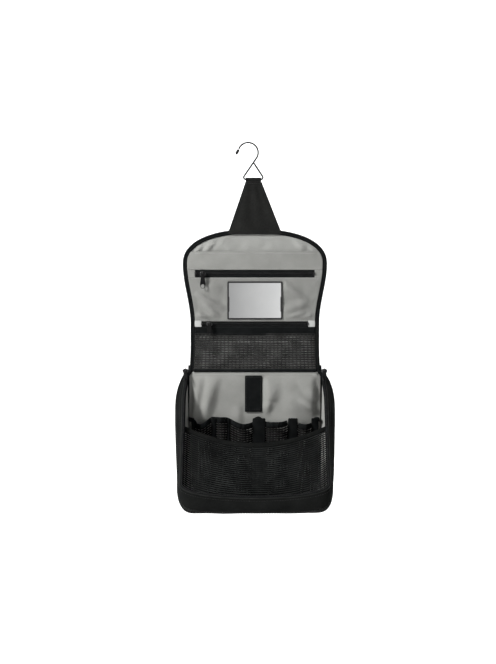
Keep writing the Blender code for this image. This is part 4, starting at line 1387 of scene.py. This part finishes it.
def organiser_loops():
    """The binding's puckered loops over the tapes."""
    knots = []
    for centre, half, rise in ((-0.0918, 0.0056, 0.0040), (0.0042, 0.0064, 0.0042), (0.0545, 0.0056, 0.0046),
                               (0.0912, 0.0046, 0.0052)):
        rows = []
        for t in steps(16):
            angle = lerp(-0.35 * pi, 1.3 * pi, t)
            line = []
            for q in spread(12):
                x = centre + q * half * (1 - 0.10 * sin(angle))
                swell = 1 - 0.16 * q * q + 0.14 * wobble(x, t * 0.02, 240, centre * 90)
                v = organiser_top(x) + rise - 0.0036 + 0.0036 * swell * sin(angle) - 0.0008 * q
                y = ORGANISER_Y - pocket_bow(x) - 0.0012 - 0.0026 * swell * cos(angle)
                line.append(at(x, v, y))
            rows.append(line)
        knots.append(grid_mesh("knot", rows))
    loops = join_meshes("organiser_loops", knots, TAPE)
    thicken(loops, 0.0009, -1.0)
    put(loops, "tub")


def divider_tapes():
    """The tapes that divide the organiser, with a crooked cut end."""
    for number, (middle, width) in enumerate(DIVIDERS, start=1):
        node = f"divider_tape_{number}"
        low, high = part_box(node)
        rows = []
        for q in steps(40):
            v = lerp(low.z, high.z, q) - FOLD_Z
            y = low.y - 0.0004 - 0.0016 * smooth((q - 0.9) / 0.1)
            row = []
            for k, t in enumerate(spread(8)):
                x = middle + width * t
                cut = 0.0008 * sin(3 * k + number) * (q > 0.98)
                bow = 0.0010 * sin(pi * k / 8) - 0.0005 * wobble(x, v, 60, number)
                row.append(at(x, v + cut, y - bow))
            rows.append(row)
        put(sheet(f"divider_strip_{number}", rows, TAPE, 0.0009, 1), "tub", node)


# ---- strap, fold and main sliders ----
def strap():
    """The black strap tab that hangs from the fold over the back lining."""
    rows = []
    for q in steps(26):
        z = lerp(STRAP_HIGH.z, STRAP_LOW.z, q)
        y = STRAP_LOW.y + 0.0003 - 0.0012 * smooth((q - 0.55) / 0.45)
        bow = 0.0006 * sin(pi * q)
        rows.append([Vector((lerp(STRAP_LOW.x, STRAP_HIGH.x, t), y - bow * sin(pi * t), z))
                     for t in steps(14)])
    tab = sheet("strap_web", rows, TAPE, 0.0011, 1)
    bevel_edges(tab, 0.0003)
    put(tab, "strap", "strap_tab")
    lines = [rows[1][1:14], rows[24][1:14], [row[1] for row in rows[1:25]], [row[-2] for row in rows[1:25]]]
    lines = [moved(line, -0.0007) for line in lines]
    put(stitches("strap_stitching", lines, THREAD_BLACK), "strap")


def bend_at_fold(piece):
    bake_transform(piece)


def fold_covers():
    """The fabric that crosses the fold between lid and tub, outside and inside."""
    def cover(name, half, profile, look):
        rows = [[at(lerp(-half, half, t), v, y + 0.0003 * wobble(t, v, 9, 3.0)) for t in steps(50)]
                for v, y in profile]
        piece = sheet(name, rows, look, 0.0006)
        bend_at_fold(piece)
        return piece, rows

    outside = [(lerp(0.010, -0.012, t), 0.0033 + 0.0004 * sin(pi * t)) for t in steps(22)]
    piece, rows = cover("fold_cover", 0.0990, outside, SHELL)
    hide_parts("fold_tape")
    inside = [(lerp(0.0004, -0.0052, t), lerp(-0.0012, -0.0004, t)) for t in steps(10)]
    cover("fold_lining", 0.0935, inside, LINING)


def fold_ears():
    """The ends of the zip's tapes, folded into the corners of the fold."""
    places = ((0.0918, 0.0034, 0.0004), (0.0936, 0.0024, -0.0002), (0.0958, 0.0006, -0.0006),
              (0.0982, -0.0024, -0.0014), (0.1003, -0.0062, -0.0030), (0.1004, -0.0095, -0.0048))
    for side, sign in (("left", -1), ("right", 1)):
        path = smooth_path([at(sign * x, v, y) for x, v, y in places], 6)
        ear = tube(f"fold_ear_{side}", path, 0.0030, TAPE, 12, 0.8,
                   taper=lambda t: 0.55 + 0.15 * t + 0.45 * sin(pi * t) + 0.06 * sin(31 * t))
        bend_at_fold(ear)


def main_sliders():
    """The main zip's two sliders and their pulls."""
    for side in ("left", "right"):
        zip_slider(f"main_zip_slider_{side}", f"main_slider_{side}", OPENING_ANGLE)
        zip_pull(f"main_zip_pull_{side}", f"main_pull_{side}", OPENING_ANGLE)


# ---- stage, light and camera ----
def stage():
    """A paper sweep: a floor far below that curves up into the wall."""
    floor_z, wall_y, bend = -1.15, 2.7, 0.6
    profile = [(-3.0, floor_z), (wall_y - bend, floor_z)]
    for t in steps(12)[1:]:
        angle = pi / 2 * t
        profile.append((wall_y - bend + bend * sin(angle), floor_z + bend * (1 - cos(angle))))
    profile.append((wall_y, 3.0))
    mesh = grid_mesh("studio_sweep", [[Vector((x, y, z)) for x in (-4.0, 4.0)] for y, z in profile])
    paper = Shader("studio_paper", 0.9)
    grain = paper.noise(paper.position(), 3.0, 3.0)
    colour = paper.ramp(grain, (0.86, 0.86, 0.86), (0.90, 0.90, 0.90))
    mesh.materials.append(paper.finish(colour, grain, 0.0001, 0.1))
    add_object("studio_sweep", mesh)


def area_light(name, place, target, size, power):
    data = bpy.data.lights.new(name, "AREA")
    data.shape = "DISK"
    data.size = size
    data.energy = power
    lamp = add_object(name, data)
    lamp.location = place
    lamp.rotation_euler = (Vector(target) - Vector(place)).to_track_quat("-Z", "Y").to_euler()


def lights():
    """A dim room with one soft panel behind the camera, whose left edge fades, and four lamps."""
    world = bpy.data.worlds.new("studio")
    bpy.context.scene.world = world
    sky = Nodes(world)

    def ranged(kind, *values):
        return sky.node("ShaderNodeMapRange", dict(enumerate(values)), interpolation_type=kind)[0]

    side, depth, _ = sky.node("ShaderNodeSeparateXYZ", {0: sky.node("ShaderNodeTexCoord", {})["Generated"]})
    edge = ranged("LINEAR", side, -0.0375, 0.045, 0.001, 0.70)
    behind = ranged("SMOOTHSTEP", depth, -0.94, -0.98, 0.0, 1.0)
    shade = sky.tree.nodes["Background"].inputs
    shade["Color"].default_value = (0.99, 0.995, 1.0, 1.0)
    sky.feed(shade["Strength"], sky.scaled(edge, behind, 0.22))
    middle = (CENTRE_X, 0.0, FOLD_Z)
    area_light("key", (-1.5, -1.05, 0.75), middle, 0.45, 72.0)
    area_light("fill", (1.3, -1.3, 0.0), middle, 1.2, 5.0)
    area_light("sweep_light", (0.0, 0.9, 1.6), (0.0, 2.6, -0.4), 1.6, 110.0)
    area_light("back_light", (0.8, 1.6, 0.8), middle, 1.0, 10.0)
    bpy.context.scene.view_settings.view_transform = "Standard"


def camera():
    """The photo's view: level and straight ahead."""
    data = bpy.data.cameras.new("camera")
    data.lens = 65.9
    data.sensor_width = 36.0
    eye = add_object("camera", data)
    eye.location = (CENTRE_X - 0.0102, -1.8, FOLD_Z + 0.0592)
    eye.rotation_euler = (pi / 2, 0.0, 0.0)
    bpy.context.scene.camera = eye


camera()
stage()
lights()
hook()
hanger()
lid_shell()
lid_top_lining()
slip_pocket()
mirror_pocket()
mirror()
pocket_zip("top", TOP_TAPE_LOW, TOP_TAPE_HIGH, 0.0240, 0.0042)
pocket_zip("low", LOW_TAPE_LOW, LOW_TAPE_HIGH)
zip_tabs()
mesh_pocket_hem()
lid_net()
lid_back_lining()
tub_walls()
tub_rim()
tub_back()
tub_linings()
front_mesh()
organiser()
organiser_loops()
divider_tapes()
strap()
fold_covers()
fold_ears()
main_sliders()
